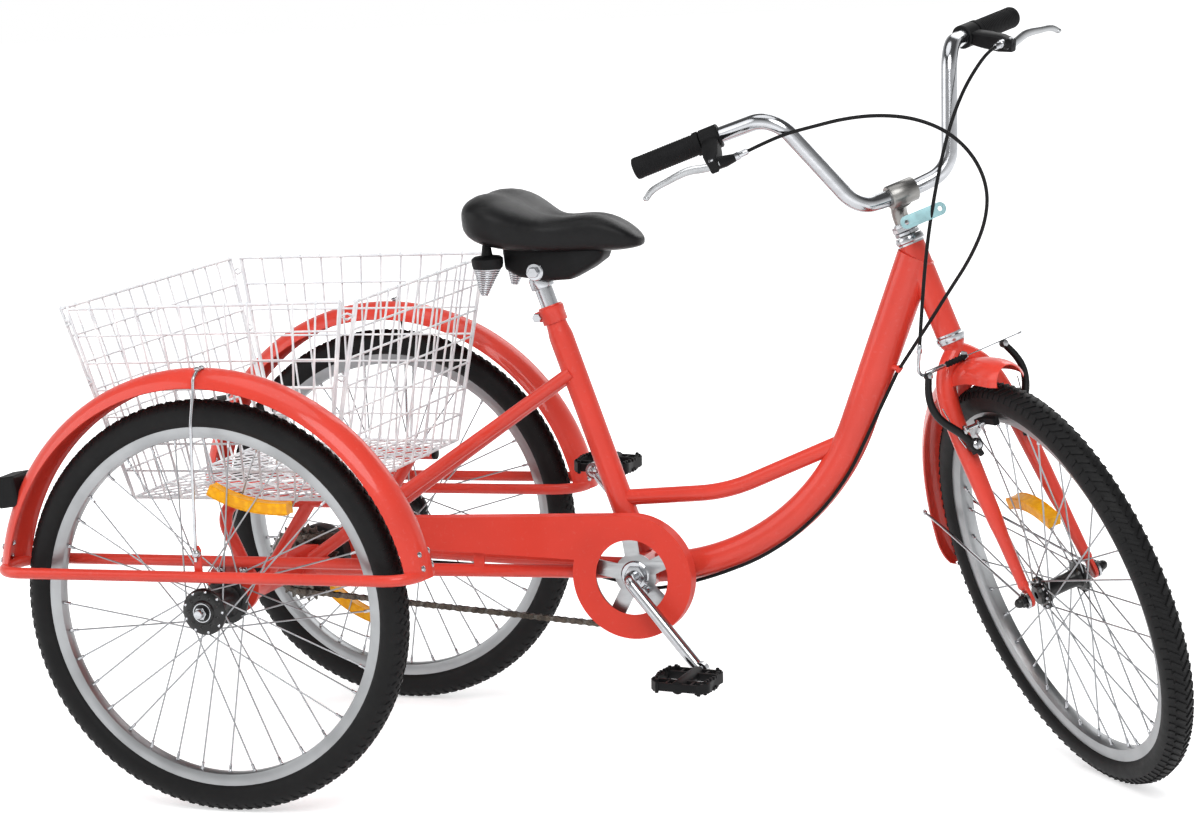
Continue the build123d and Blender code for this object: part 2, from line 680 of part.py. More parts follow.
def rear_fender_stay():
    """Bracket on the outer rail with a rod up to the fender's edge."""
    rail_y = -HALF_TRACK - RAIL_HALF_WIDTH
    lug_y = rail_y + RAIL_TUBE_RADIUS
    lug = Pos(0, lug_y, RAIL_HEIGHT + STAY_LUG_HEIGHT / 2) * Box(STAY_LUG_WIDTH, STAY_LUG_THICKNESS, STAY_LUG_HEIGHT)
    edge_z = REAR_AXLE.Z + REAR_FENDER_RADIUS - FENDER_DEPTH
    rod_y = lug_y - STAY_LUG_THICKNESS / 2 - STAY_ROD_RADIUS / 2
    bar = rod((0, rod_y, RAIL_HEIGHT + STAY_LUG_HEIGHT / 2), (0, rod_y, edge_z), STAY_ROD_RADIUS)
    return lug + bar


def basket_support():
    """Bent tube under the basket floor, welded to the axle tube, with a straight brace."""
    top_z = BASKET_FLOOR_Z - BASKET_WIRE / 2 - SUPPORT_TUBE_RADIUS - RUNNING_CLEARANCE
    y = -SUPPORT_Y
    foot_z = REAR_AXLE.Z + AXLE_TUBE_RADIUS * 0.6
    bent = tube(
        [(SUPPORT_FRONT_X, y, top_z), (SUPPORT_REAR_X, y, top_z), (SUPPORT_FOOT_X, y, foot_z)],
        SUPPORT_TUBE_RADIUS,
        SUPPORT_BEND,
    )
    brace = rod((SUPPORT_BRACE_X, y, top_z), (-SUPPORT_FOOT_X, y, foot_z), SUPPORT_TUBE_RADIUS)
    return bent + brace


def rear_light_place():
    """Frame of the light: its local X points to the rear, away from the fender."""
    centre = REAR_AXLE + Vector(0, -HALF_TRACK, 0)
    angle = math.radians(LIGHT_ANGLE)
    outward = Vector(-math.cos(angle), 0, math.sin(angle)) * (REAR_FENDER_RADIUS - LIGHT_SEAT)
    return Pos(centre + outward) * Rot(0, LIGHT_TILT + HALF_TURN, 0)


def rear_light():
    """Housing with rounded edges on the back of the fender."""
    depth, width, height = LIGHT_SIZE
    housing = Pos(depth / 2, 0, 0) * Box(depth, width, height)
    return rear_light_place() * fillet(housing.edges(), LIGHT_EDGE)


def rear_light_lens():
    """Lens in the housing's rear face."""
    depth, width, height = LIGHT_SIZE
    lens = Pos(depth, 0, 0) * Box(2 * LENS_RISE, width - 2 * LENS_MARGIN, height - 2 * LENS_MARGIN)
    return rear_light_place() * fillet(lens.edges().filter_by(Axis.X), LIGHT_EDGE)


# ---------------------------------------------------------------- basket
def wire_panel(corners, columns, rows):
    """Flat grid of crossing wires between four corners, given round the panel; it rises inward."""
    low_left, low_right, high_right, high_left = corners
    span = low_right - low_left
    plane = Plane(origin=low_left, x_dir=span, z_dir=(high_left - low_left).cross(span))
    flat = [plane.to_local_coords(corner) for corner in corners]

    def inner(u, v):
        low = flat[0] + (flat[1] - flat[0]) * u
        high = flat[3] + (flat[2] - flat[3]) * u
        point = low + (high - low) * v
        return (point.X, point.Y)

    height = (high_left - low_left).length
    half_u = BASKET_WIRE / 2 / span.length
    half_v = BASKET_WIRE / 2 / height
    openings = []
    for column in range(columns - 1):
        u_from = half_u + (1 - 2 * half_u) * column / (columns - 1) + half_u
        u_to = half_u + (1 - 2 * half_u) * (column + 1) / (columns - 1) - half_u
        for row in range(rows - 1):
            v_from = half_v + (1 - 2 * half_v) * row / (rows - 1) + half_v
            v_to = half_v + (1 - 2 * half_v) * (row + 1) / (rows - 1) - half_v
            ring = [inner(u_from, v_from), inner(u_to, v_from), inner(u_to, v_to), inner(u_from, v_to)]
            openings.append(Wire.make_polygon([Vector(*point) for point in ring], close=True))
    border = Wire.make_polygon([Vector(point.X, point.Y) for point in flat], close=True)
    return plane * extrude(Face(border, openings), BASKET_WIRE, dir=(0, 0, 1))


def basket():
    """Floor and four sloping sides of crossing wires, hooked together at their edges."""
    floor_z = BASKET_FLOOR_Z - BASKET_WIRE / 2
    rear, front = BASKET_FLOOR_X
    top_rear, top_front = BASKET_TOP_X
    side, top_side = BASKET_FLOOR_HALF_WIDTH, BASKET_TOP_HALF_WIDTH
    # Each side stands back from the corners and from the floor by its own thickness and a gap.
    inset = BASKET_WIRE + BASKET_GAP
    right = wire_panel(
        [
            Vector(rear + inset, -side, floor_z),
            Vector(front - inset, -side, floor_z),
            Vector(top_front - inset, -top_side, BASKET_TOP_Z),
            Vector(top_rear + inset, -top_side, BASKET_TOP_Z),
        ],
        *BASKET_SIDE_GRID,
    )
    back = wire_panel(
        [
            Vector(rear, side - inset, floor_z),
            Vector(rear, inset - side, floor_z),
            Vector(top_rear, inset - top_side, BASKET_TOP_Z),
            Vector(top_rear, top_side - inset, BASKET_TOP_Z),
        ],
        *BASKET_END_GRID,
    )
    head = wire_panel(
        [
            Vector(front, inset - side, floor_z),
            Vector(front, side - inset, floor_z),
            Vector(top_front, top_side - inset, BASKET_TOP_Z),
            Vector(top_front, inset - top_side, BASKET_TOP_Z),
        ],
        *BASKET_END_GRID,
    )
    floor = wire_panel(
        [
            Vector(rear + inset, inset - side, floor_z),
            Vector(rear + inset, side - inset, floor_z),
            Vector(front - inset, side - inset, floor_z),
            Vector(front - inset, inset - side, floor_z),
        ],
        *BASKET_FLOOR_GRID,
    )
    return Compound(children=[floor, right, mirrored(right), back, head])


# ---------------------------------------------------------------- transmission
def pitch_radius(teeth):
    return CHAIN_PITCH / (2 * math.sin(math.pi / teeth))


def chain_band(grow=0.0):
    """The chain's side view, in X and Z, thickened by grow on both sides."""
    ring_radius = pitch_radius(CHAINRING_TEETH)
    sprocket_radius = pitch_radius(SPROCKET_TEETH)
    half = CHAIN_HEIGHT / 2 + grow
    return chain_outline(ring_radius + half, sprocket_radius + half) - chain_outline(ring_radius - half, sprocket_radius - half)


def chain():
    """One fixed loop round the chainring and the sprocket, with outer plates on every second link."""
    y_from = -CHAIN_LINE - CHAIN_CORE_WIDTH / 2
    loop = extrude(Plane.XZ.offset(-y_from) * chain_band(), CHAIN_CORE_WIDTH, dir=(0, 1, 0))
    for point, along in chain_pitches():
        place = Plane(origin=point, x_dir=along, z_dir=(0, 1, 0))
        loop += place * Box(CHAIN_PLATE[0], CHAIN_PLATE[1], CHAIN_WIDTH)
    return loop


def chain_pitches():
    """Middle and direction of every second link, round the loop from the top of the sprocket."""
    front, rear = pitch_radius(CHAINRING_TEETH), pitch_radius(SPROCKET_TEETH)
    span = BRACKET - REAR_AXLE
    reach = math.hypot(span.X, span.Z)
    tilt = math.atan2(span.Z, span.X)
    lean = math.acos((rear - front) / reach)
    run = math.sqrt(reach ** 2 - (front - rear) ** 2)
    # Stretches in order: upper run, round the chainring, lower run, round the sprocket.
    front_wrap, rear_wrap = front * 2 * lean, rear * 2 * (math.pi - lean)
    total = 2 * run + front_wrap + rear_wrap
    count = round(total / (2 * CHAIN_PITCH))
    places = []
    for index in range(count):
        distance = total * index / count
        if distance < run:
            places.append(run_point(REAR_AXLE, rear, tilt + lean, tilt, lean, distance))
        elif distance < run + front_wrap:
            places.append(arc_point(BRACKET, front, tilt + lean - (distance - run) / front))
        elif distance < 2 * run + front_wrap:
            back = distance - run - front_wrap
            places.append(run_point(BRACKET, front, tilt - lean, tilt + math.pi, lean, back))
        else:
            back = distance - 2 * run - front_wrap
            places.append(arc_point(REAR_AXLE, rear, tilt - lean - back / rear))
    return places


def run_point(centre, radius, angle, heading, lean, distance):
    """A point on the straight run that leaves a sprocket at angle."""
    slope = math.pi / 2 - lean
    turned = heading - slope if heading < math.pi / 2 else heading + slope
    along = Vector(math.cos(turned), 0, math.sin(turned))
    start = centre + Vector(math.cos(angle), 0, math.sin(angle)) * radius
    return start + along * distance + Vector(0, -CHAIN_LINE, 0), along


def arc_point(centre, radius, angle):
    """A point where the chain lies on a sprocket."""
    outward = Vector(math.cos(angle), 0, math.sin(angle))
    return centre + outward * radius + Vector(0, -CHAIN_LINE, 0), Vector(outward.Z, 0, -outward.X)


def chain_outline(front_radius, rear_radius):
    """Belt-shaped face round both sprockets, in the XZ plane."""
    span = BRACKET - REAR_AXLE
    reach = math.hypot(span.X, span.Z)
    tilt = math.atan2(span.Z, span.X)
    lean = math.acos((rear_radius - front_radius) / reach)
    corners = []
    for sign, centre, radius in (
        (1, REAR_AXLE, rear_radius),
        (1, BRACKET, front_radius),
        (-1, BRACKET, front_radius),
        (-1, REAR_AXLE, rear_radius),
    ):
        angle = tilt + sign * lean
        corners.append((centre.X + radius * math.cos(angle), centre.Z + radius * math.sin(angle)))
    belt = make_face(Polyline(*corners, close=True))
    belt += Pos(BRACKET.X, BRACKET.Z) * Circle(front_radius)
    belt += Pos(REAR_AXLE.X, REAR_AXLE.Z) * Circle(rear_radius)
    return belt


def toothed_disc(centre, teeth, y_middle, thickness, tooth_drop):
    """Sprocket disc whose tips stay under the chain's rollers."""
    radius = pitch_radius(teeth) - CHAIN_HEIGHT / 2 - tooth_drop
    return across(centre, radius, y_middle - thickness / 2, y_middle + thickness / 2)


def crank():
    """One-piece crank: a chrome bar bent into two arms through the bottom bracket."""
    angle = math.radians(CRANK_ANGLE)
    arm = Vector(math.cos(angle), 0, math.sin(angle)) * CRANK_LENGTH
    side = Vector(0, CRANK_ARM_Y, 0)
    flare = Vector(0, CRANK_FLARE, 0)
    points = [
        BRACKET + arm - side - flare,
        BRACKET - side,
        BRACKET + side,
        BRACKET - arm + side + flare,
    ]
    bar = tube(points, CRANK_BAR_RADIUS, CRANK_BEND)
    for end, direction in ((points[0], -1), (points[-1], 1)):
        bar += across(end, PEDAL_EYE_RADIUS, end.Y - PEDAL_EYE_WIDTH / 2, end.Y + PEDAL_EYE_WIDTH / 2)
    for end in (points[0], points[-1]):
        bar -= across(end, PEDAL_PIN_RADIUS + RUNNING_CLEARANCE, end.Y - PEDAL_EYE_WIDTH, end.Y + PEDAL_EYE_WIDTH)
    return bar


def chainring():
    """Flat ring with five arms on the crank."""
    y_middle = -CHAIN_LINE
    half = CHAINRING_THICKNESS / 2
    ring = toothed_disc(BRACKET, CHAINRING_TEETH, y_middle, CHAINRING_THICKNESS, TOOTH_DROP)
    ring -= across(BRACKET, CHAINRING_OPENING, y_middle - 1 - half, y_middle + 1 + half)
    for index in range(5):
        angle = math.radians(CHAINRING_ARM_ANGLE + 72 * index)
        middle = BRACKET + Vector(math.cos(angle), 0, math.sin(angle)) * CHAINRING_OPENING / 2
        arm = Pos(middle.X, y_middle, middle.Z) * Rot(0, -math.degrees(angle), 0)
        ring += arm * Box(CHAINRING_OPENING + 4, CHAINRING_THICKNESS, CHAINRING_ARM_WIDTH)
    ring += across(BRACKET, CHAINRING_HUB_RADIUS, y_middle - half, y_middle + half)
    return ring - across(BRACKET, CRANK_BAR_RADIUS, -2 * CHAIN_LINE, 0)


def chain_guard():
    """Stamped cover: a ring round the chainring and an arm back along the upper run."""
    y_out = -CHAIN_LINE - GUARD_OUTSET
    arm_rear_z = (GUARD_ARM_REAR_Z[0], GUARD_ARM_REAR_Z[1])
    arm = make_face(
        Polyline(
            (GUARD_REAR_X, arm_rear_z[0]),
            (BRACKET.X, BRACKET.Z - GUARD_ARM_FRONT_DROP),
            (BRACKET.X, BRACKET.Z + GUARD_RADIUS),
            (GUARD_REAR_X, arm_rear_z[1]),
            close=True,
        )
    )
    outline = arm + Pos(BRACKET.X, BRACKET.Z) * Circle(GUARD_RADIUS)
    cover = Plane.XZ.offset(-y_out) * outline
    solid = extrude(cover, GUARD_LIP, dir=(0, 1, 0))
    inside = Plane.XZ.offset(-y_out - GUARD_SHEET) * offset(outline, -GUARD_SHEET, kind=Kind.INTERSECTION)
    solid -= extrude(inside, GUARD_LIP, dir=(0, 1, 0))
    slot = extrude(Plane.XZ.offset(-y_out - GUARD_SHEET) * chain_band(GUARD_CHAIN_GAP), GUARD_LIP, dir=(0, 1, 0))
    # Tab from the lower lip down to the chain stay.
    tab_y = y_out + GUARD_LIP / 2
    tab = Pos(GUARD_TAB_X, tab_y, (BRACKET.Z + GUARD_ARM_REAR_Z[0]) / 2) * Box(*GUARD_TAB)
    solid += tab - chain_stay()
    return largest(solid - slot - across(BRACKET, GUARD_HOLE_RADIUS, y_out - 1, y_out + GUARD_LIP))


def freewheel():
    """Six stepped sprockets on the axle."""
    stack = None
    for index, teeth in enumerate(FREEWHEEL_TEETH):
        y_middle = -CHAIN_LINE + (index - 2) * FREEWHEEL_STEP
        disc = toothed_disc(REAR_AXLE, teeth, y_middle, FREEWHEEL_DISC, TOOTH_DROP)
        stack = disc if stack is None else stack + disc
    y_from = -CHAIN_LINE - 2.5 * FREEWHEEL_STEP
    y_to = -CHAIN_LINE + 4 * FREEWHEEL_STEP
    stack += across(REAR_AXLE, FREEWHEEL_BODY_RADIUS, y_from, y_to)
    return stack - across(REAR_AXLE, AXLE_RADIUS, 2 * y_from, 0)


def brake_drum():
    drum = across(REAR_AXLE, DRUM_RADIUS, DRUM_Y[0], DRUM_Y[1])
    return drum - across(REAR_AXLE, AXLE_RADIUS, DRUM_Y[0] - 1, DRUM_Y[1] + 1)


def axle():
    """Shaft through the axle tubes; the left wheel is keyed to it."""
    end = HALF_TRACK + AXLE_OVERHANG
    return across(REAR_AXLE, AXLE_RADIUS, -end, end)


def pedal(side):
    """Platform pedal with its pin; side is -1 for the right and 1 for the left."""
    angle = math.radians(CRANK_ANGLE)
    arm = Vector(math.cos(angle), 0, math.sin(angle)) * CRANK_LENGTH
    centre = BRACKET + (arm if side < 0 else arm * -1) + Vector(0, side * PEDAL_CENTRE_Y, 0)
    body = Pos(centre.X, centre.Y, centre.Z) * Rot(0, PEDAL_TILT, 0) * Box(*PEDAL_SIZE)
    pin_from = side * (CRANK_ARM_Y + CRANK_FLARE - PEDAL_EYE_WIDTH / 2)
    pin = across(centre, PEDAL_PIN_RADIUS, min(pin_from, centre.Y), max(pin_from, centre.Y))
    return body + pin


# ---------------------------------------------------------------- front end, straight ahead
def fork_crown():
    """Steerer and crown; the quill stem sits in the steerer's bore."""
    middle = FORK_CROWN_BASE + CROWN_RADIUS
    crown = rod(head_point(middle, 0, -FORK_HALF_SPACING), head_point(middle, 0, FORK_HALF_SPACING), CROWN_RADIUS)
    for side in (-1, 1):
        crown += Pos(head_point(middle, 0, side * FORK_HALF_SPACING)) * Sphere(BLADE_TOP_RADIUS)
    steerer = rod(head_point(middle), head_point(STEERER_TOP), STEERER_RADIUS)
    race_top = HEAD_TUBE_BASE - HEADSET_CUP_HEIGHT - RUNNING_CLEARANCE
    race = rod(head_point(middle), head_point(race_top), RACE_RADIUS)
    fender_bolt = rod(head_point(middle), head_point(FRONT_FENDER_RADIUS - FENDER_SHEET), FENDER_BOLT_RADIUS)
    bore = rod(head_point(STEERER_TOP - QUILL_DEPTH), head_point(STEERER_TOP + 1), QUILL_RADIUS)
    return crown + steerer + race + fender_bolt - bore


def fork_blade(side):
    """Straight tapered blade with its wheel plate and brake boss."""
    top = head_point(FORK_CROWN_BASE + CROWN_RADIUS, 0, side * FORK_HALF_SPACING)
    hub_line = head_point(0, RAKE, side * FORK_HALF_SPACING)
    tip = hub_line + (top - hub_line).normalized() * BLADE_TIP_LIFT
    blade = rod(tip, top, BLADE_TIP_RADIUS, end_radius=BLADE_TOP_RADIUS)
    blade += Pos(tip) * Sphere(BLADE_TIP_RADIUS)
    outer = side * FORK_HALF_SPACING
    ear = across(FRONT_CENTRE, BLADE_TIP_RADIUS + 4, outer - DROPOUT_PLATE / 2, outer + DROPOUT_PLATE / 2)
    boss = rod(*brake_boss_line(side), BRAKE_BOSS_RADIUS)
    return blade + ear + boss - front_axle_bore()


def brake_boss_line(side):
    """Both ends of the boss on which a brake arm turns."""
    start = head_point(BRAKE_PIVOT_UP, BRAKE_BOSS_ROOT, side * BRAKE_PIVOT_SIDE)
    end = head_point(BRAKE_PIVOT_UP, BRAKE_PIVOT_FORWARD + BRAKE_BOSS_OVERHANG, side * BRAKE_PIVOT_SIDE)
    return start, end


def front_axle_bore():
    return across(FRONT_CENTRE, FRONT_AXLE_RADIUS, -FRONT_AXLE_HALF, FRONT_AXLE_HALF)


def front_axle():
    """Axle with cones inside the fork and cap nuts outside it."""
    solid = front_axle_bore()
    inner = FORK_HALF_SPACING - DROPOUT_PLATE / 2
    outer = FORK_HALF_SPACING + DROPOUT_PLATE / 2
    for side in (-1, 1):
        for y_a, y_b, radius in (
            (FRONT_HUB_HALF + RUNNING_CLEARANCE, inner, FRONT_NUT_RADIUS),
            (outer, outer + FRONT_NUT_WIDTH, FRONT_NUT_RADIUS),
        ):
            solid += across(FRONT_CENTRE, radius, side * y_a, side * y_b)
    return solid


def stem():
    """Quill in the steerer with a forward clamp round the bar."""
    clamp = head_point(BAR_CLAMP_UP, BAR_CLAMP_FORWARD)
    quill = rod(head_point(STEERER_TOP - QUILL_DEPTH), head_point(BAR_CLAMP_UP), QUILL_RADIUS)
    neck = rod(head_point(BAR_CLAMP_UP - 8), clamp, QUILL_RADIUS)
    neck += Pos(head_point(BAR_CLAMP_UP)) * Sphere(QUILL_RADIUS)
    ring = across(clamp, STEM_CLAMP_RADIUS, -STEM_CLAMP_WIDTH / 2, STEM_CLAMP_WIDTH / 2)
    return quill + neck + ring - handlebar()


def locknut():
    """Headset locknut on the steerer, above the upper cup."""
    base = HEAD_TUBE_BASE + HEAD_TUBE_LENGTH + HEADSET_CUP_HEIGHT + RUNNING_CLEARANCE
    return rod(head_point(base), head_point(base + LOCKNUT_HEIGHT), LOCKNUT_RADIUS, STEERER_RADIUS)


def bar_point(x, y, z, side=1):
    return head_point(BAR_CLAMP_UP, BAR_CLAMP_FORWARD) + Vector(x, side * y, z)


def handlebar():
    left = [bar_point(*point) for point in BAR_HALF_LINE]
    right = [bar_point(*point, side=-1) for point in BAR_HALF_LINE]
    points = list(reversed(right)) + [bar_point(0, 0, 0)] + left
    bends = list(reversed(BAR_BENDS)) + [BAR_CENTRE_BEND] + list(BAR_BENDS)
    return tube(points, BAR_RADIUS, bends)


def bar_end(side):
    """End of the bar and the direction back along its last run."""
    end = bar_point(*BAR_HALF_LINE[-1], side=side)
    inward = (bar_point(*BAR_HALF_LINE[-2], side=side) - end).normalized()
    return end, inward


def grip(side):
    end, inward = bar_end(side)
    cap = end - inward * 4
    solid = rod(cap, end + inward * GRIP_LENGTH, GRIP_RADIUS)
    return solid - rod(end, end + inward * (GRIP_LENGTH + 1), BAR_RADIUS)


def brake_lever(side):
    """Clamp on the bar inboard of the grip, with the lever blade in front of the grip."""
    end, inward = bar_end(side)
    clamp_from = end + inward * (GRIP_LENGTH + 2)
    clamp_to = clamp_from + inward * LEVER_CLAMP_WIDTH
    solid = rod(clamp_from, clamp_to, LEVER_CLAMP_RADIUS)
    points = [bar_point(*point, side=side) for point in LEVER_LINE]
    solid += rod((clamp_from + clamp_to) / 2, points[0], LEVER_CLAMP_RADIUS * 0.6)
    solid += Pos(points[0]) * Sphere(LEVER_CLAMP_RADIUS * 0.6)
    solid += tube(points, LEVER_RADIUS, LEVER_BEND)
    cable_start = Vector(*FRONT_CABLE[0]) if side > 0 else straightened(REAR_CABLE_LOOP[0])
    toward = (cable_start - points[0]).normalized()
    solid += rod(points[0], cable_start - toward * RUNNING_CLEARANCE, BARREL_RADIUS)
    return solid - handlebar()


def brake_arm(side):
    """Linear-pull brake arm with its pad."""
    pivot = head_point(BRAKE_PIVOT_UP, BRAKE_PIVOT_FORWARD, side * BRAKE_PIVOT_SIDE)
    top = head_point(BRAKE_ARM_TOP_UP, BRAKE_PIVOT_FORWARD, side * BRAKE_ARM_TOP_SIDE)
    plane = Plane(origin=(pivot + top) / 2, x_dir=AXIS_FORWARD, z_dir=top - pivot)
    arm = plane * Box(*BRAKE_ARM_SECTION, (top - pivot).length)
    arm += rod(pivot - AXIS_FORWARD * 6, pivot + AXIS_FORWARD * 8, BRAKE_ARM_SECTION[0] / 2 + 3)
    pad_from = RIM_WIDTH / 2 + BRAKE_PAD_GAP
    pad_to = pad_from + BRAKE_PAD_THICKNESS
    start = BRAKE_PAD_ANGLE - BRAKE_PAD_SWEEP / 2
    pad = ring_arc(FRONT_CENTRE, BRAKE_PAD_RADII, (side * pad_from, side * pad_to), start, BRAKE_PAD_SWEEP)
    angle = math.radians(BRAKE_PAD_ANGLE)
    pad_radius = sum(BRAKE_PAD_RADII) / 2
    post_at = FRONT_CENTRE + Vector(pad_radius * math.cos(angle), 0, pad_radius * math.sin(angle))
    post_end = side * (BRAKE_PIVOT_SIDE + BRAKE_ARM_SECTION[1] / 2)
    post = across(post_at, BRAKE_POST_RADIUS, side * (pad_from + pad_to) / 2, post_end)
    return arm + pad + post - rod(*brake_boss_line(side), BRAKE_BOSS_RADIUS)


def front_fender():
    return fender(
        FRONT_CENTRE, FRONT_FENDER_RADIUS, FRONT_FENDER_HALF_WIDTH, FRONT_FENDER_START, FRONT_FENDER_END
    )


def front_fender_stay(side):
    """Wire from the axle to the fender's lower edge."""
    angle = math.radians(FRONT_STAY_ANGLE)
    edge_radius = FRONT_FENDER_RADIUS - FENDER_DEPTH + FRONT_STAY_LAP
    y = side * (FRONT_FENDER_HALF_WIDTH + FRONT_STAY_RADIUS)
    edge = FRONT_CENTRE + Vector(edge_radius * math.cos(angle), y, edge_radius * math.sin(angle))
    root_radius = FRONT_NUT_RADIUS + FRONT_STAY_RADIUS + STAY_EYE_GAP
    outer = side * (FORK_HALF_SPACING + DROPOUT_PLATE / 2 + FRONT_STAY_RADIUS)
    root = FRONT_CENTRE + Vector(root_radius * math.cos(angle), outer, root_radius * math.sin(angle))
    return rod(root, edge, FRONT_STAY_RADIUS)


def reflector_bracket():
    """Strap from the stem with a plain plate in front of it."""
    root = head_point(REFLECTOR_ARM_UP)
    end = head_point(REFLECTOR_ARM_UP, REFLECTOR_ARM_FORWARD)
    arm = Plane(origin=(root + end) / 2, x_dir=AXIS_FORWARD, z_dir=AXIS_UP) * Box(REFLECTOR_ARM_FORWARD, 14, 3)
    ring = rod(head_point(REFLECTOR_ARM_UP - 1.5), head_point(REFLECTOR_ARM_UP + 1.5), STEERER_RADIUS + 5)
    plate_centre = end + AXIS_UP * REFLECTOR_PLATE_LIFT
    face = Plane(origin=plate_centre, x_dir=AXIS_FORWARD, z_dir=AXIS_UP) * Box(*FRONT_REFLECTOR_SIZE)
    hole = rod(head_point(REFLECTOR_ARM_UP - 5), head_point(REFLECTOR_ARM_UP + 5), STEERER_RADIUS)
    return arm + ring + face - hole


# ---------------------------------------------------------------- saddle
def saddle():
    faces = []
    for x, half_width, bottom, top in SADDLE_SECTIONS:
        middle = POST_TOP + Vector(x, 0, (bottom + top) / 2)
        plane = Plane(origin=middle, x_dir=(0, 1, 0), z_dir=(1, 0, 0))
        faces.append(plane * Ellipse(half_width, (top - bottom) / 2))
    return loft(faces)


def saddle_pan():
    """Hard cover under the padding, with the clamp inside it."""
    x_from, x_to = SADDLE_PAN_X
    z_from, z_to = SADDLE_PAN_Z
    middle = POST_TOP + Vector((x_from + x_to) / 2, 0, (z_from + z_to) / 2)
    block = Pos(middle) * Box(x_to - x_from, 2 * SADDLE_PAN_HALF_WIDTH, z_to - z_from)
    return largest(block - saddle() - seat_post())


def seat_post():
    return rod(BRACKET + SEAT_UP * (SEAT_TUBE_LENGTH - SEAT_POST_INSERT), POST_TOP, SEAT_POST_RADIUS)


def seat_collar():
    top = SEAT_TUBE_LENGTH
    base = BRACKET + SEAT_UP * (top - SEAT_COLLAR_HEIGHT)
    ring = rod(base, BRACKET + SEAT_UP * top, SEAT_COLLAR_RADIUS, SEAT_TUBE_RADIUS)
    lug_at = BRACKET + SEAT_UP * (top - SEAT_COLLAR_HEIGHT / 2) - Vector(SEAT_COLLAR_RADIUS, 0, 0)
    lug = Pos(lug_at) * Box(12, 12, 12)
    tube_solid = rod(BRACKET, BRACKET + SEAT_UP * (top + 10), SEAT_TUBE_RADIUS)
    return ring + (lug - tube_solid)


def saddle_spring():
    top = POST_TOP + Vector(SPRING_X, -SPRING_Y, SADDLE_SECTIONS[1][2] - 2)
    foot = top - Vector(0, 0, SPRING_HEIGHT)
    coil = rod(foot, top, SPRING_FOOT_RADIUS, end_radius=SPRING_TOP_RADIUS)
    neck = rod(top, top + Vector(0, 0, 30), SPRING_TOP_RADIUS)
    return coil + neck - saddle()


# ---------------------------------------------------------------- cables
def bend_radii(points):
    """The largest tangent arcs that the runs beside each corner leave room for."""
    radii = []
    for before, corner, after in zip(points, points[1:], points[2:]):
        run_in = Vector(*corner) - Vector(*before)
        run_out = Vector(*after) - Vector(*corner)
        turn = math.radians(run_in.get_angle(run_out))
        shorter = min(run_in.length, run_out.length)
        radii.append(0.45 * shorter / math.tan(turn / 2))
    return radii


def cable(name, points, radius=CABLE_RADIUS):
    """A cable housing along a hand-chosen route."""
    radii = bend_radii(points)
    path = FilletPolyline(*points, radius=radii)
    solid = sweep(Plane(origin=path @ 0, z_dir=path % 0) * Circle(radius), path=path)
    expected = math.pi * radius ** 2 * path.length
    print(name, "bend radii", [round(value) for value in radii], "volume ratio", round(solid.volume / expected, 4))
    return solid


def brake_noodle():
    """Bent pipe from the front cable's end to the right arm, and the wire on to the left arm."""
    last, end = Vector(*FRONT_CABLE[-2]), Vector(*FRONT_CABLE[-1])
    start = end + (end - last).normalized() * RUNNING_CLEARANCE
    right_top = head_point(BRAKE_ARM_TOP_UP + NOODLE_LIFT, BRAKE_PIVOT_FORWARD, -BRAKE_ARM_TOP_SIDE)
    left_top = head_point(BRAKE_ARM_TOP_UP + NOODLE_LIFT, BRAKE_PIVOT_FORWARD, BRAKE_ARM_TOP_SIDE)
    corner = Vector(right_top.X, right_top.Y - 16, right_top.Z + 4)
    pipe = tube([start, corner, right_top + Vector(0, NOODLE_REACH, 0)], NOODLE_RADIUS, NOODLE_BEND)
    wire = rod(right_top, left_top, WIRE_RADIUS)
    return pipe + wire


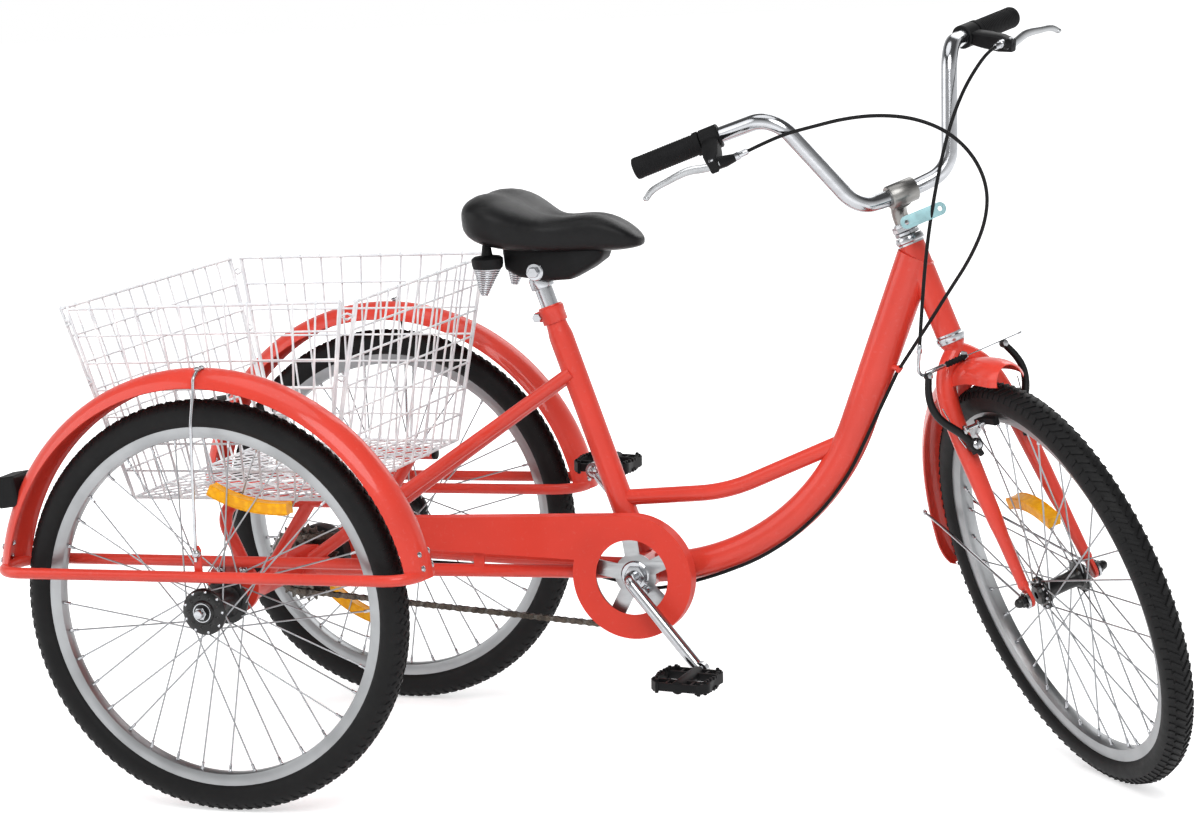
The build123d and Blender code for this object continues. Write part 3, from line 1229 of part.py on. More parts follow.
# ---------------------------------------------------------------- assembly
def build_frame():
    """Every node of the frame, each tube coped to those that it meets."""
    head = head_tube()
    shell = bracket_shell()
    bracket_core = across(BRACKET, BRACKET_SHELL_RADIUS, -BRACKET_SHELL_WIDTH, BRACKET_SHELL_WIDTH)
    head_core = rod(head_point(0), head_point(HEAD_TUBE_BASE + 2 * HEAD_TUBE_LENGTH), HEAD_TUBE_RADIUS)
    seat = seat_tube() - bracket_core
    seat_core = rod(BRACKET, BRACKET + SEAT_UP * SEAT_TUBE_LENGTH, SEAT_TUBE_RADIUS)
    down = down_tube() - bracket_core - head_core - seat_core
    down_core = down_tube()
    upper = largest(upper_tube() - seat_core - down_core)
    chain_stay_right = chain_stay() - bracket_core - seat_core
    seat_stay_right = seat_stay() - seat_core
    plate_core = dropout(bore=0)
    chain_stay_right = largest(chain_stay_right - plate_core)
    seat_stay_right = largest(seat_stay_right - plate_core - chain_stay_right)
    rail = guard_rail()
    tube_core = across(REAR_AXLE, AXLE_TUBE_RADIUS, -BEARING_PLATE_Y, -CARRIER_HALF_WIDTH)
    housing = dropout() + axle_tube() + (bearing_plate() - rail)
    support = largest(basket_support() - tube_core)
    stay_rear = rear_fender_stay() - rail
    fender_right = largest(rear_fender() - rail)
    light = largest(rear_light() - fender_core(REAR_AXLE + Vector(0, -HALF_TRACK, 0), REAR_FENDER_RADIUS, FENDER_HALF_WIDTH))
    pairs = {
        "chain_stays": chain_stay_right,
        "seat_stays": seat_stay_right,
        "axle_housings": housing,
        "guard_rails": rail,
        "rear_fenders": fender_right,
        "rear_fender_stays": stay_rear,
        "basket_supports": support,
        "rear_lights": largest(light - rear_light_lens()),
        "rear_light_lenses": rear_light_lens(),
        "saddle_springs": saddle_spring(),
    }
    nodes = {
        "head_tube": head,
        "headset_cups": Compound(children=headset_cups()),
        "bracket_shell": shell,
        "bracket_cups": Compound(children=bracket_cups()),
        "seat_tube": seat,
        "down_tube": down + cable_stop(),
        "upper_tube": upper,
        "basket": basket(),
        "chain": chain(),
        "chain_guard": chain_guard(),
        "seat_post": seat_post(),
        "seat_collar": seat_collar(),
        "saddle_pan": saddle_pan(),
        "saddle": saddle(),
        "rear_cable": cable("rear cable", rear_cable_route()),
        "rear_cable_loop": cable("rear cable loop", REAR_CABLE_LOOP),
    }
    for name, solid in pairs.items():
        nodes[name] = both(solid, mirrored(solid))
    return nodes


def both(right, left):
    """Two like pieces as one node."""
    return Compound(children=[right, left])


def largest(shape):
    """The largest solid that is left after a cut."""
    return max(shape.solids(), key=lambda solid: solid.volume)


def build_steering():
    nodes = {
        "locknut": locknut(),
        "stem": stem(),
        "handlebar": handlebar(),
        "front_axle": front_axle(),
        "front_fender": front_fender(),
        "reflector_bracket": reflector_bracket(),
        "front_cable": cable("front cable", FRONT_CABLE),
        "brake_noodle": brake_noodle(),
    }
    fork = fork_crown() + fork_blade(-1) + fork_blade(1)
    nodes["fork"] = largest(fork - nodes["front_fender"])
    nodes["grips"] = both(grip(-1), grip(1))
    nodes["brake_levers"] = both(brake_lever(-1), brake_lever(1))
    nodes["brake_arms"] = both(brake_arm(-1), brake_arm(1))
    nodes["front_fender_stays"] = both(front_fender_stay(-1), front_fender_stay(1))
    return {name: steered(solid) for name, solid in nodes.items()}


def build_wheels():
    front_hub = hub(
        FRONT_CENTRE, FRONT_HUB_RADIUS, FRONT_FLANGE_RADIUS, FRONT_FLANGE_SPACING,
        FRONT_AXLE_RADIUS + RUNNING_CLEARANCE, FRONT_HUB_HALF,
    )
    right_centre = REAR_AXLE + Vector(0, -HALF_TRACK, 0)
    half_hub = REAR_FLANGE_SPACING / 2 + FLANGE_THICKNESS
    rear_hub = hub(
        right_centre, REAR_HUB_RADIUS, REAR_FLANGE_RADIUS, REAR_FLANGE_SPACING,
        AXLE_RADIUS + RUNNING_CLEARANCE, half_hub,
    )
    left_centre = REAR_AXLE + Vector(0, HALF_TRACK, 0)
    keyed_hub = hub(left_centre, REAR_HUB_RADIUS, REAR_FLANGE_RADIUS, REAR_FLANGE_SPACING, AXLE_RADIUS, half_hub)
    front_wheel = laced_wheel(FRONT_CENTRE, front_hub, FRONT_FLANGE_RADIUS, FRONT_FLANGE_SPACING)
    right_wheel = laced_wheel(right_centre, rear_hub, REAR_FLANGE_RADIUS, REAR_FLANGE_SPACING)
    left_wheel = laced_wheel(left_centre, keyed_hub, REAR_FLANGE_RADIUS, REAR_FLANGE_SPACING)
    front_reflector = wheel_reflector(FRONT_CENTRE, FRONT_REFLECTOR, FRONT_FLANGE_RADIUS, FRONT_FLANGE_SPACING)
    right_reflector = wheel_reflector(right_centre, RIGHT_REFLECTOR, REAR_FLANGE_RADIUS, REAR_FLANGE_SPACING)
    left_reflector = wheel_reflector(left_centre, LEFT_REFLECTOR, REAR_FLANGE_RADIUS, REAR_FLANGE_SPACING)
    return {
        "front_wheel_reflector": steered(front_reflector),
        "right_rear_reflector": right_reflector,
        "left_rear_reflector": left_reflector,
        "front_tyre": steered(tyre(FRONT_CENTRE, FRONT_TYRE_RADIUS)),
        "front_rim": steered(front_wheel),
        "right_rear_tyre": tyre(right_centre, REAR_TYRE_RADIUS),
        "right_rear_rim": right_wheel,
        "left_rear_tyre": tyre(left_centre, REAR_TYRE_RADIUS),
        "left_rear_rim": left_wheel,
        "axle": axle(),
        "freewheel": freewheel(),
        "brake_drum": brake_drum(),
    }


def build_cranks():
    return {
        "crank": crank(),
        "chainring": chainring(),
        "pedal_right": pedal(-1),
        "pedal_left": pedal(1),
    }


def main():
    os.makedirs("parts", exist_ok=True)
    nodes = {**build_frame(), **build_steering(), **build_wheels(), **build_cranks()}
    shift = Location((ORIGIN_SHIFT, 0, 0))
    for name, shape in nodes.items():
        solids = [solid.moved(shift) for solid in shape.solids()]
        export_step(solids[0] if len(solids) == 1 else Compound(children=solids), f"parts/{name}.step")
    print("origin shift", round(ORIGIN_SHIFT, 4))
    print("steering foot", [round(value, 4) for value in (FOOT.X, FOOT.Y, FOOT.Z)])
    print("front centre", [round(value, 4) for value in (FRONT_CENTRE.X, FRONT_CENTRE.Y, FRONT_CENTRE.Z)])
    print("nodes", len(nodes))


main()
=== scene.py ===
import json
import math

import bpy
import bmesh
from bpy.props import FloatProperty, FloatVectorProperty, PointerProperty
from mathutils import Matrix, Vector


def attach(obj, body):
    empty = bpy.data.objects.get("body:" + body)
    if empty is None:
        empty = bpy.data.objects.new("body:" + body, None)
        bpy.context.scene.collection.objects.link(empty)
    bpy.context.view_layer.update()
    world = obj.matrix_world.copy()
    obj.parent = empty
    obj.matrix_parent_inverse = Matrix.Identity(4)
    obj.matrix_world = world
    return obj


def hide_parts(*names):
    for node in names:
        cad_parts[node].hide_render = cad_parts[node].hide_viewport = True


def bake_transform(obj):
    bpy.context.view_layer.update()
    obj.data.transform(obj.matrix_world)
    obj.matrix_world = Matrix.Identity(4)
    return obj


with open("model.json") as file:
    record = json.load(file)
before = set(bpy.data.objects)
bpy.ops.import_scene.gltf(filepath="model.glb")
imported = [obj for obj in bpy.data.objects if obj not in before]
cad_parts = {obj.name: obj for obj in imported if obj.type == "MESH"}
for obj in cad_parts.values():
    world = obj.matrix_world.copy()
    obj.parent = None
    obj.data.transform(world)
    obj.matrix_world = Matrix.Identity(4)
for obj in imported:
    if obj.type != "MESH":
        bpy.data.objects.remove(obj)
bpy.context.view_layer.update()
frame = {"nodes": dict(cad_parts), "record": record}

bl_info = {
    "name": "Adult tricycle",
    "version": (1, 0, 0),
    "blender": (4, 5, 0),
    "location": "View3D > Sidebar > Tricycle",
    "description": "Dresses the packed adult tricycle: paint, wheels, basket, saddle and fittings",
    "category": "Object",
}

# ---------------- places shared with the CAD part
# Millimetres with x = 0 at the rear axle, as in the part's source; the row frame is shifted in X.
ORIGIN_SHIFT = -503.9338
HEAD = math.radians(69.5)
STEER = math.radians(-50.1)
RAKE = 30.0
FOOT = Vector((1117.0998, 0, 276.6823))
AXIS_UP = Vector((-math.cos(HEAD), 0, math.sin(HEAD)))
AXIS_FORWARD = Vector((math.sin(HEAD), 0, math.cos(HEAD)))
FRONT_CENTRE = FOOT + AXIS_FORWARD * RAKE
REAR_AXLE = Vector((0, 0, 294.4))
BRACKET = Vector((527, 0, 288.5))
HALF_TRACK = 315.0
SEAT = math.radians(72.1)
SEAT_UP = Vector((-math.cos(SEAT), 0, math.sin(SEAT)))
UNTURNED = Matrix.Identity(4)
STEERED = Matrix.Translation(FOOT) @ Matrix.Rotation(STEER, 4, AXIS_UP) @ Matrix.Translation(-FOOT)
TO_ROW = Matrix.Scale(0.001, 4) @ Matrix.Translation((ORIGIN_SHIFT, 0, 0))


def head_point(up, forward=0.0, side=0.0):
    """A point of the front end while it points straight ahead."""
    return FOOT + AXIS_UP * up + AXIS_FORWARD * forward + sideways(side)


def sideways(y):
    """A step across the tricycle, to its left where y is above zero."""
    return Vector((0, y, 0))


def wheel_point(angle, radius=1.0, y=0.0):
    """A place round a wheel's middle; angle is in radians from straight ahead up over the wheel."""
    return Vector((radius * math.cos(angle), y, radius * math.sin(angle)))


def standing(x, y, z):
    """The turn that brings the local axes onto three directions."""
    return Matrix((x, y, z)).transposed().to_4x4()


def facing(direction, up=(0, 0, 1)):
    """A turn that brings local Z onto direction, with local X kept as near to up as it can be."""
    z = Vector(direction).normalized()
    x = Vector(up) - z * z.dot(Vector(up))
    if x.length < 1e-6:
        x = z.orthogonal()
    x.normalize()
    return standing(x, z.cross(x), z)


def placed(origin, direction=(0, 0, 1), up=(1, 0, 0)):
    return Matrix.Translation(Vector(origin)) @ facing(direction, up)


# ---------------- paths
def rounded(points, radii, step=6.0):
    """Points along straight runs joined by tangent arcs, about step degrees apart on the arcs."""
    points = [Vector(p) for p in points]
    if not isinstance(radii, (list, tuple)):
        radii = [radii] * (len(points) - 2)
    path = [points[0]]
    for before, corner, after, radius in zip(points, points[1:], points[2:], radii):
        a, b = (before - corner).normalized(), (after - corner).normalized()
        turn = math.pi - a.angle(b)
        if turn < 1e-3:
            continue
        reach = radius * math.tan(turn / 2)
        centre = corner + (a + b).normalized() * (radius / math.cos(turn / 2))
        start = corner + a * reach - centre
        axis = start.cross(corner + b * reach - centre).normalized()
        count = max(2, round(math.degrees(turn) / step))
        for i in range(count + 1):
            path.append(centre + Matrix.Rotation(turn * i / count, 3, axis) @ start)
    path.append(points[-1])
    return path


def arc_points(centre, radius, start, end, steps, y=0.0):
    """Points on an arc in a wheel's plane, between two angles in degrees."""
    angles = [math.radians(start + (end - start) * i / steps) for i in range(steps + 1)]
    return [Vector(centre) + wheel_point(a, radius, y) for a in angles]


def circle_profile(radius, sides, flat=1.0):
    angles = [2 * math.pi * i / sides for i in range(sides)]
    return [(radius * math.cos(a), radius * flat * math.sin(a)) for a in angles]


def arc_outline(radius, first, step, count, x=0.0):
    """Flat points round (x, 0); first and step are in degrees."""
    angles = [math.radians(first + step * i) for i in range(count)]
    return [(x + radius * math.cos(a), radius * math.sin(a)) for a in angles]


def softened(points):
    """Corners cut twice, with both ends kept."""
    for _ in range(2):
        finer = [points[0]]
        for first, second in zip(points, points[1:]):
            finer += [first.lerp(second, 0.25), first.lerp(second, 0.75)]
        points = [*finer, points[-1]]
    return points


def signed_power(value, exponent):
    return math.copysign(abs(value) ** exponent, value)


# ---------------- meshes
class Solid:
    """Collects the faces of one piece in millimetres, with a UV map along and around each form."""

    def __init__(self):
        self.bm = bmesh.new()
        self.uv = self.bm.loops.layers.uv.new("UVMap")

    def grid(self, rows, closed_u=False):
        """Quads between rows of points; u runs along the rows and v round each row."""
        verts = [[self.bm.verts.new(p) for p in row] for row in rows]
        count_u, count_v = len(rows), len(rows[0])
        for i in range(count_u if closed_u else count_u - 1):
            for j in range(count_v):
                i2, j2 = (i + 1) % count_u, (j + 1) % count_v
                corners = [verts[i][j], verts[i2][j], verts[i2][j2], verts[i][j2]]
                face = self.bm.faces.new(corners)
                for loop, (u, v) in zip(face.loops, ((i, j), (i + 1, j), (i + 1, j + 1), (i, j + 1))):
                    loop[self.uv].uv = (u / count_u, v / count_v)
        return verts

    def cap(self, ring, flip=False):
        self.bm.faces.new(reversed(ring) if flip else ring)

    def loft(self, rows, closed=False):
        """Quads between rows of points, joined up or capped at both ends."""
        verts = self.grid(rows, closed_u=closed)
        if not closed:
            self.cap(verts[0])
            self.cap(verts[-1], flip=True)
        return self

    def sweep(self, path, profile, up=(0, 1, 0), closed=False, scales=None):
        """A section carried along a path without twist; profile x follows up."""
        path = [Vector(p) for p in path]
        side = Vector(up)
        rows = []
        count = len(path)
        for i, point in enumerate(path):
            before = path[i - 1] if i or closed else point
            after = path[(i + 1) % count] if i + 1 < count or closed else point
            tangent = (after - before).normalized()
            side = (side - tangent * side.dot(tangent)).normalized()
            other = tangent.cross(side)
            scale = scales[i] if scales else (1.0, 1.0)
            rows.append([point + side * (a * scale[0]) + other * (b * scale[1]) for a, b in profile])
        return self.loft(rows, closed)

    def tube(self, path, radius, sides=20, **options):
        return self.sweep(path, circle_profile(radius, sides), **options)

    def rod(self, start, end, radius, end_radius=None, sides=20, rim=0.0):
        """A straight bar; rim rounds both end edges."""
        start, end = Vector(start), Vector(end)
        end_radius = radius if end_radius is None else end_radius
        along = (end - start).normalized()
        if rim:
            cut = 0.3 * rim
            path = [start, start + along * cut, start + along * rim, end - along * rim, end - along * cut, end]
            sizes = [radius - rim, radius - cut, radius, end_radius, end_radius - cut, end_radius - rim]
        else:
            path, sizes = [start, end], [radius, end_radius]
        side = along.orthogonal().normalized()
        scales = [(size, size) for size in sizes]
        return self.sweep(path, circle_profile(1.0, sides), up=side, scales=scales)

    def turned(self, centre, axis, profile, steps=48):
        """A profile of (radius, height) turned round an axis through centre; closed round its section."""
        stand = placed(centre, axis)
        ring = circle_profile(1.0, steps)
        return self.loft([[stand @ Vector((r * c, r * s, h)) for r, h in profile] for c, s in ring], closed=True)

    def button(self, centre, axis, profile, steps=24):
        """A turned form that is closed on its axis at both ends: profile radii start and end above zero."""
        stand = placed(centre, axis)
        ring = circle_profile(1.0, steps)
        return self.loft([[stand @ Vector((r * c, r * s, h)) for c, s in ring] for r, h in profile])

    def hexagon(self, centre, axis, across_flats, height):
        """A hexagonal nut or bolt head with softened ends."""
        r = across_flats / math.sqrt(3)
        edge = 0.12 * height
        profile = [(r * 0.88, 0), (r, edge), (r, height - edge), (r * 0.88, height)]
        return self.button(centre, axis, profile, steps=6)

    def block(self, centre, size, matrix=UNTURNED, edge=0.8):
        """A box with rounded edges, turned by matrix about its own centre."""
        made = bmesh.ops.create_cube(self.bm, size=1.0)
        place = Matrix.Translation(Vector(centre)) @ matrix
        for vert in made["verts"]:
            vert.co = place @ Vector([c * s for c, s in zip(vert.co, size)])
        if edge:
            edges = {e for vert in made["verts"] for e in vert.link_edges}
            bmesh.ops.bevel(self.bm, geom=list(edges), offset=edge, segments=2, affect="EDGES", profile=0.6)
        return self

    def ball(self, centre, radius, stretch=(1, 1, 1), matrix=UNTURNED, detail=16):
        place = Matrix.Translation(Vector(centre)) @ matrix @ Matrix.Diagonal((*stretch, 1))
        bmesh.ops.create_uvsphere(self.bm, u_segments=detail, v_segments=detail // 2, radius=radius, matrix=place)
        return self

    def plate(self, outline, thickness, matrix, holes=(), edge=0.5):
        """A flat plate from a 2-D outline with holes; it lies on local z = 0 and rises by thickness."""
        curve = bpy.data.curves.new("plate_outline", "CURVE")
        curve.dimensions = "2D"
        curve.fill_mode = "BOTH"
        for points in (outline, *holes):
            spline = curve.splines.new("POLY")
            spline.points.add(len(points) - 1)
            for target, (x, y) in zip(spline.points, points):
                target.co = (x, y, 0, 1)
            spline.use_cyclic_u = True
        curve.extrude = max(thickness / 2 - edge, 0.01)
        curve.bevel_depth = edge
        curve.bevel_resolution = 1
        curve.offset = -edge
        holder = bpy.data.objects.new("plate_outline", curve)
        mesh = bpy.data.meshes.new_from_object(holder)
        mesh.transform(matrix @ Matrix.Translation((0, 0, thickness / 2)))
        self.bm.from_mesh(mesh)
        bpy.data.objects.remove(holder)
        bpy.data.curves.remove(curve)
        bpy.data.meshes.remove(mesh)
        return self

    def mesh(self, name, matrix=UNTURNED):
        """The piece's mesh data in the row frame, with doubles merged and faces outward; ends the Solid."""
        bmesh.ops.remove_doubles(self.bm, verts=self.bm.verts, dist=1e-4)
        bmesh.ops.recalc_face_normals(self.bm, faces=self.bm.faces)
        data = bpy.data.meshes.new(name)
        self.bm.to_mesh(data)
        self.bm.free()
        data.transform(TO_ROW @ matrix)
        return data


def smooth(data, angle=38.0):
    """Smooth shading with edges kept sharp where faces meet at more than angle degrees."""
    data.shade_smooth()
    work = bmesh.new()
    work.from_mesh(data)
    limit = math.radians(angle)
    for edge in work.edges:
        edge.smooth = not (len(edge.link_faces) == 2 and edge.calc_face_angle(0.0) > limit)
    work.to_mesh(data)
    work.free()


def linked(name, data):
    """A new object in the scene."""
    made = bpy.data.objects.new(name, data)
    bpy.context.scene.collection.objects.link(made)
    return made


def add_piece(name, solid, material, body, replaces=(), matrix=UNTURNED, angle=38.0):
    """Turns a Solid or finished mesh data into a piece on a body."""
    data = solid.mesh(name, matrix) if isinstance(solid, Solid) else solid
    if angle:
        smooth(data, angle)
    if material is not None:
        data.materials.clear()
        data.materials.append(material)
    piece = linked(name + "_detail" if name in frame["nodes"] else name, data)
    if body:
        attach(piece, body)
    if replaces:
        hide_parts(*replaces)
    return piece


# ---------------- shader maths
class Value:
    """One socket's value; Python arithmetic on it adds Math nodes."""

    def __init__(self, shade, socket):
        self.shade, self.socket = shade, socket

    def math(self, operation, *others):
        inputs = dict(enumerate((self, *others)))
        return self.shade.node("ShaderNodeMath", inputs, operation=operation)

    def __add__(self, other):
        return self.math("ADD", other)

    def __mul__(self, other):
        return self.math("MULTIPLY", other)

    def __sub__(self, other):
        return self.math("SUBTRACT", other)

    def __rsub__(self, other):
        return self.shade.node("ShaderNodeMath", {0: other, 1: self}, operation="SUBTRACT")

    __radd__ = __add__
    __rmul__ = __mul__

    def step(self, low, high):
        """0 below low and 1 above high, with a smooth step between."""
        inputs = {"Value": self, "From Min": low, "From Max": high}
        return self.shade.node("ShaderNodeMapRange", inputs, interpolation_type="SMOOTHSTEP")


class Shade:
    """Builds one material or world: node() adds any node, and its values do arithmetic."""

    def __init__(self, holder):
        """holder is a world, or the name of a new material."""
        self.material = bpy.data.materials.new(holder) if isinstance(holder, str) else holder
        self.material.use_nodes = True
        self.tree = self.material.node_tree
        self.tree.nodes.clear()

    def node(self, kind, inputs=None, out=0, **settings):
        made = self.tree.nodes.new(kind)
        for key, setting in settings.items():
            setattr(made, key, setting)
        for key, value in (inputs or {}).items():
            self.feed(made.inputs[key], value)
        return Value(self, made.outputs[out]) if len(made.outputs) else None

    def feed(self, socket, value):
        if isinstance(value, Value):
            self.tree.links.new(value.socket, socket)
        elif hasattr(socket.default_value, "__len__") and len(socket.default_value) == 4 and len(value) == 3:
            socket.default_value = (*value, 1)
        else:
            socket.default_value = value

    def place(self, scale=(1, 1, 1), source="Object"):
        """Coordinates in metres on the piece, or its UV map, scaled."""
        coordinates = self.node("ShaderNodeTexCoord", out=source)
        return self.node("ShaderNodeMapping", {"Vector": coordinates, "Scale": scale})

    def noise(self, scale, detail=3.0, vector=None, roughness=0.5):
        vector = vector or self.place()
        inputs = {"Vector": vector, "Scale": scale, "Detail": detail, "Roughness": roughness}
        return self.node("ShaderNodeTexNoise", inputs)

    def cells(self, scale, feature="F1"):
        inputs = {"Vector": self.place(), "Scale": scale}
        return self.node("ShaderNodeTexVoronoi", inputs, feature=feature)

    def mix(self, factor, first, second):
        made = self.tree.nodes.new("ShaderNodeMix")
        made.data_type = "RGBA"
        for index, value in ((0, factor), (6, first), (7, second)):
            self.feed(made.inputs[index], value)
        return Value(self, made.outputs[2])

    def bump(self, height, distance, strength=1.0, normal=None):
        inputs = {"Height": height, "Distance": distance, "Strength": strength}
        if normal:
            inputs["Normal"] = normal
        return self.node("ShaderNodeBump", inputs)

    def finish(self, **inputs):
        """Principled shader; names use underscores for spaces."""
        named = {key.replace("_", " "): value for key, value in inputs.items()}
        shader = self.node("ShaderNodeBsdfPrincipled", named)
        self.node("ShaderNodeOutputMaterial", {"Surface": shader})
        return self.material


def paint(name, colour, roughness=0.34, coat=0.45):
    """Glossy stove enamel with a faint orange-peel surface and a little dust."""
    s = Shade(name)
    shade_map = s.noise(9.0, 4.0)
    dust = s.noise(160.0, 5.0).step(0.55, 0.85)
    dark = tuple(c * 0.9 for c in colour)
    base = s.mix(shade_map.step(0.3, 0.7), dark, colour)
    base = s.mix(dust * 0.05, base, (0.75, 0.7, 0.66))
    peel = s.bump(s.noise(420.0, 2.0), 0.00012, 0.35)
    rough = s.noise(60.0, 3.0) * 0.1 + roughness
    return s.finish(
        Base_Color=base, Roughness=rough, Normal=peel, Coat_Weight=coat, Coat_Roughness=0.08, Specular_IOR_Level=0.22,
    )


def plated(name, colour, roughness, streak=0.06):
    """Bright plated or polished metal with fine handling marks."""
    s = Shade(name)
    haze = s.noise(35.0, 5.0, s.place((1, 1, 3)))
    fine = s.noise(900.0, 3.0)
    base = s.mix(haze.step(0.35, 0.75), colour, tuple(c * 0.86 for c in colour))
    rough = haze * streak * 2 + roughness
    return s.finish(Base_Color=base, Metallic=1.0, Roughness=rough, Normal=s.bump(fine, 0.00003, 0.25))


def spun_aluminium(name, colour):
    """Rolled rim metal: fine lines round the rim, with the brake track worn brighter."""
    s = Shade(name)
    round_lines = s.noise(1.0, 4.0, s.place((18, 420, 1), "UV"), 0.7)
    patches = s.noise(14.0, 3.0)
    base = s.mix(patches.step(0.35, 0.7), colour, tuple(c * 0.82 for c in colour))
    rough = round_lines * 0.16 + patches * 0.12 + 0.2
    return s.finish(Base_Color=base, Metallic=1.0, Roughness=rough, Normal=s.bump(round_lines, 0.00012, 0.4))


def moulded(name, colour, roughness=0.5, grain=1400.0, depth=0.00008, gloss=0.5):
    """Moulded plastic or powder-coated metal with a fine grain."""
    s = Shade(name)
    patches = s.noise(28.0, 4.0)
    base = s.mix(patches.step(0.4, 0.75), colour, tuple(min(1, c * 1.5 + 0.002) for c in colour))
    rough = patches * 0.16 + roughness
    relief = s.bump(s.noise(grain, 3.0), depth, 0.6)
    return s.finish(Base_Color=base, Roughness=rough, Normal=relief, Specular_IOR_Level=gloss)


def tyre_rubber(name, colour):
    """Dull rubber with a dusty crown and fine mould grain."""
    s = Shade(name)
    dust = s.noise(24.0, 6.0, roughness=0.65).step(0.45, 0.8)
    base = s.mix(dust * 0.25, colour, (0.022, 0.021, 0.020))
    rough = s.noise(80.0, 4.0) * 0.2 + 0.5
    relief = s.bump(s.noise(750.0, 4.0), 0.00022, 0.5)
    return s.finish(Base_Color=base, Roughness=rough, Normal=relief, Specular_IOR_Level=0.2)


def vinyl(name, colour):
    """Black saddle cover with a fine leather grain and worn, shinier raised parts."""
    s = Shade(name)
    grain = s.cells(620.0, "DISTANCE_TO_EDGE").step(0.0, 0.18)
    wrinkle = s.noise(70.0, 5.0, roughness=0.6)
    base = s.mix(wrinkle.step(0.42, 0.7) * 0.6, colour, tuple(c * 1.6 for c in colour))
    rough = wrinkle * 0.2 + 0.24
    relief = s.bump(grain, 0.00016, 0.55, s.bump(wrinkle, 0.0006, 0.3))
    return s.finish(Base_Color=base, Roughness=rough, Normal=relief, Specular_IOR_Level=0.2)


def reflector(name, colour, lattice=260.0):
    """Clear coloured plastic over a lattice of small prisms."""
    s = Shade(name)
    prisms = s.cells(lattice, "DISTANCE_TO_EDGE")
    glow = s.cells(lattice * 0.5)
    deep = tuple(c * 0.88 for c in colour)
    base = s.mix(glow.step(0.1, 0.75), tuple(min(1, c * 1.15) for c in colour), deep)
    return s.finish(
        Base_Color=base, Roughness=prisms * 0.3 + 0.3, Normal=s.bump(prisms.step(0, 0.3), 0.0003, 0.3),
        Coat_Weight=0.2, Coat_Roughness=0.06, Specular_IOR_Level=0.12,
    )


def chain_metal(name, colour):
    """Oiled steel: brown film in patches over bright rubbed metal."""
    s = Shade(name)
    film = s.noise(130.0, 5.0, roughness=0.7).step(0.38, 0.72)
    base = s.mix(film, tuple(min(1, c * 1.9) for c in colour), tuple(c * 0.5 for c in colour))
    return s.finish(Base_Color=base, Metallic=0.9 - film * 0.35, Roughness=film * 0.25 + 0.28)


# ---------------- Geometry Nodes
class Tree:
    """A Geometry Nodes tree with named inputs."""

    def __init__(self, name):
        self.tree = bpy.data.node_groups.new(name, "GeometryNodeTree")
        self.socket("Geometry", "NodeSocketGeometry")
        self.tree.interface.new_socket("Geometry", in_out="OUTPUT", socket_type="NodeSocketGeometry")
        self.start = self.tree.nodes.new("NodeGroupInput")
        self.end = self.tree.nodes.new("NodeGroupOutput")

    def socket(self, name, kind, default=None):
        made = self.tree.interface.new_socket(name, in_out="INPUT", socket_type=kind)
        if default is not None:
            made.default_value = default
        return made.identifier

    def node(self, kind, inputs=None, **settings):
        made = self.tree.nodes.new(kind)
        for key, setting in settings.items():
            setattr(made, key, setting)
        for key, value in (inputs or {}).items():
            if isinstance(value, bpy.types.NodeSocket):
                self.tree.links.new(value, made.inputs[key])
            else:
                made.inputs[key].default_value = value
        return made

    def close(self, geometry):
        """Realizes instances, sets the material and ends the tree."""
        plain = self.node("GeometryNodeRealizeInstances", {"Geometry": geometry})
        material = self.start.outputs["Material"]
        dressed = self.node("GeometryNodeSetMaterial", {"Geometry": plain.outputs[0], "Material": material})
        self.tree.links.new(dressed.outputs[0], self.end.inputs[0])


def wire_tree():
    """Round wire along every edge of a mesh of runs; each run is its own stretch of wire."""
    t = Tree("Round wire")
    ids = {
        "Wire radius": t.socket("Wire radius", "NodeSocketFloat", 0.0015),
        "Sides": t.socket("Sides", "NodeSocketInt", 6),
        "Material": t.socket("Material", "NodeSocketMaterial"),
    }
    curve = t.node("GeometryNodeMeshToCurve", {"Mesh": t.start.outputs["Geometry"]})
    ring = t.node(
        "GeometryNodeCurvePrimitiveCircle",
        {"Resolution": t.start.outputs["Sides"], "Radius": t.start.outputs["Wire radius"]},
    )
    wire = t.node(
        "GeometryNodeCurveToMesh",
        {"Curve": curve.outputs[0], "Profile Curve": ring.outputs[0], "Fill Caps": True},
    )
    round_wire = t.node("GeometryNodeSetShadeSmooth", {"Geometry": wire.outputs[0]})
    t.close(round_wire.outputs[0])
    return t.tree, ids


def repeat_tree():
    """One form at every point of a mesh, turned by the points' attribute named turn."""
    t = Tree("Repeat on points")
    ids = {
        "Form": t.socket("Form", "NodeSocketObject"),
        "Size": t.socket("Size", "NodeSocketFloat", 1.0),
        "Material": t.socket("Material", "NodeSocketMaterial"),
    }
    form = t.node("GeometryNodeObjectInfo", {"Object": t.start.outputs["Form"]})
    turn = t.node("GeometryNodeInputNamedAttribute", {"Name": "turn"}, data_type="FLOAT_VECTOR")
    points = t.node("GeometryNodeMeshToPoints", {"Mesh": t.start.outputs["Geometry"]})
    copies = t.node(
        "GeometryNodeInstanceOnPoints",
        {
            "Points": points.outputs[0],
            "Instance": form.outputs["Geometry"],
            "Rotation": turn.outputs["Attribute"],
            "Scale": t.start.outputs["Size"],
        },
    )
    t.close(copies.outputs[0])
    return t.tree, ids


def grown(name, source, tree_ids, values):
    """Runs a tree on source mesh data and returns the result as plain mesh data."""
    tree, ids = tree_ids
    holder = linked(name, source)
    modifier = holder.modifiers.new("Grow", "NODES")
    modifier.node_group = tree
    for key, value in values.items():
        modifier[ids[key]] = value
    bpy.context.view_layer.update()
    depsgraph = bpy.context.evaluated_depsgraph_get()
    data = bpy.data.meshes.new_from_object(holder.evaluated_get(depsgraph))
    data.name = name
    holder.modifiers.clear()
    bpy.data.objects.remove(holder)
    return data


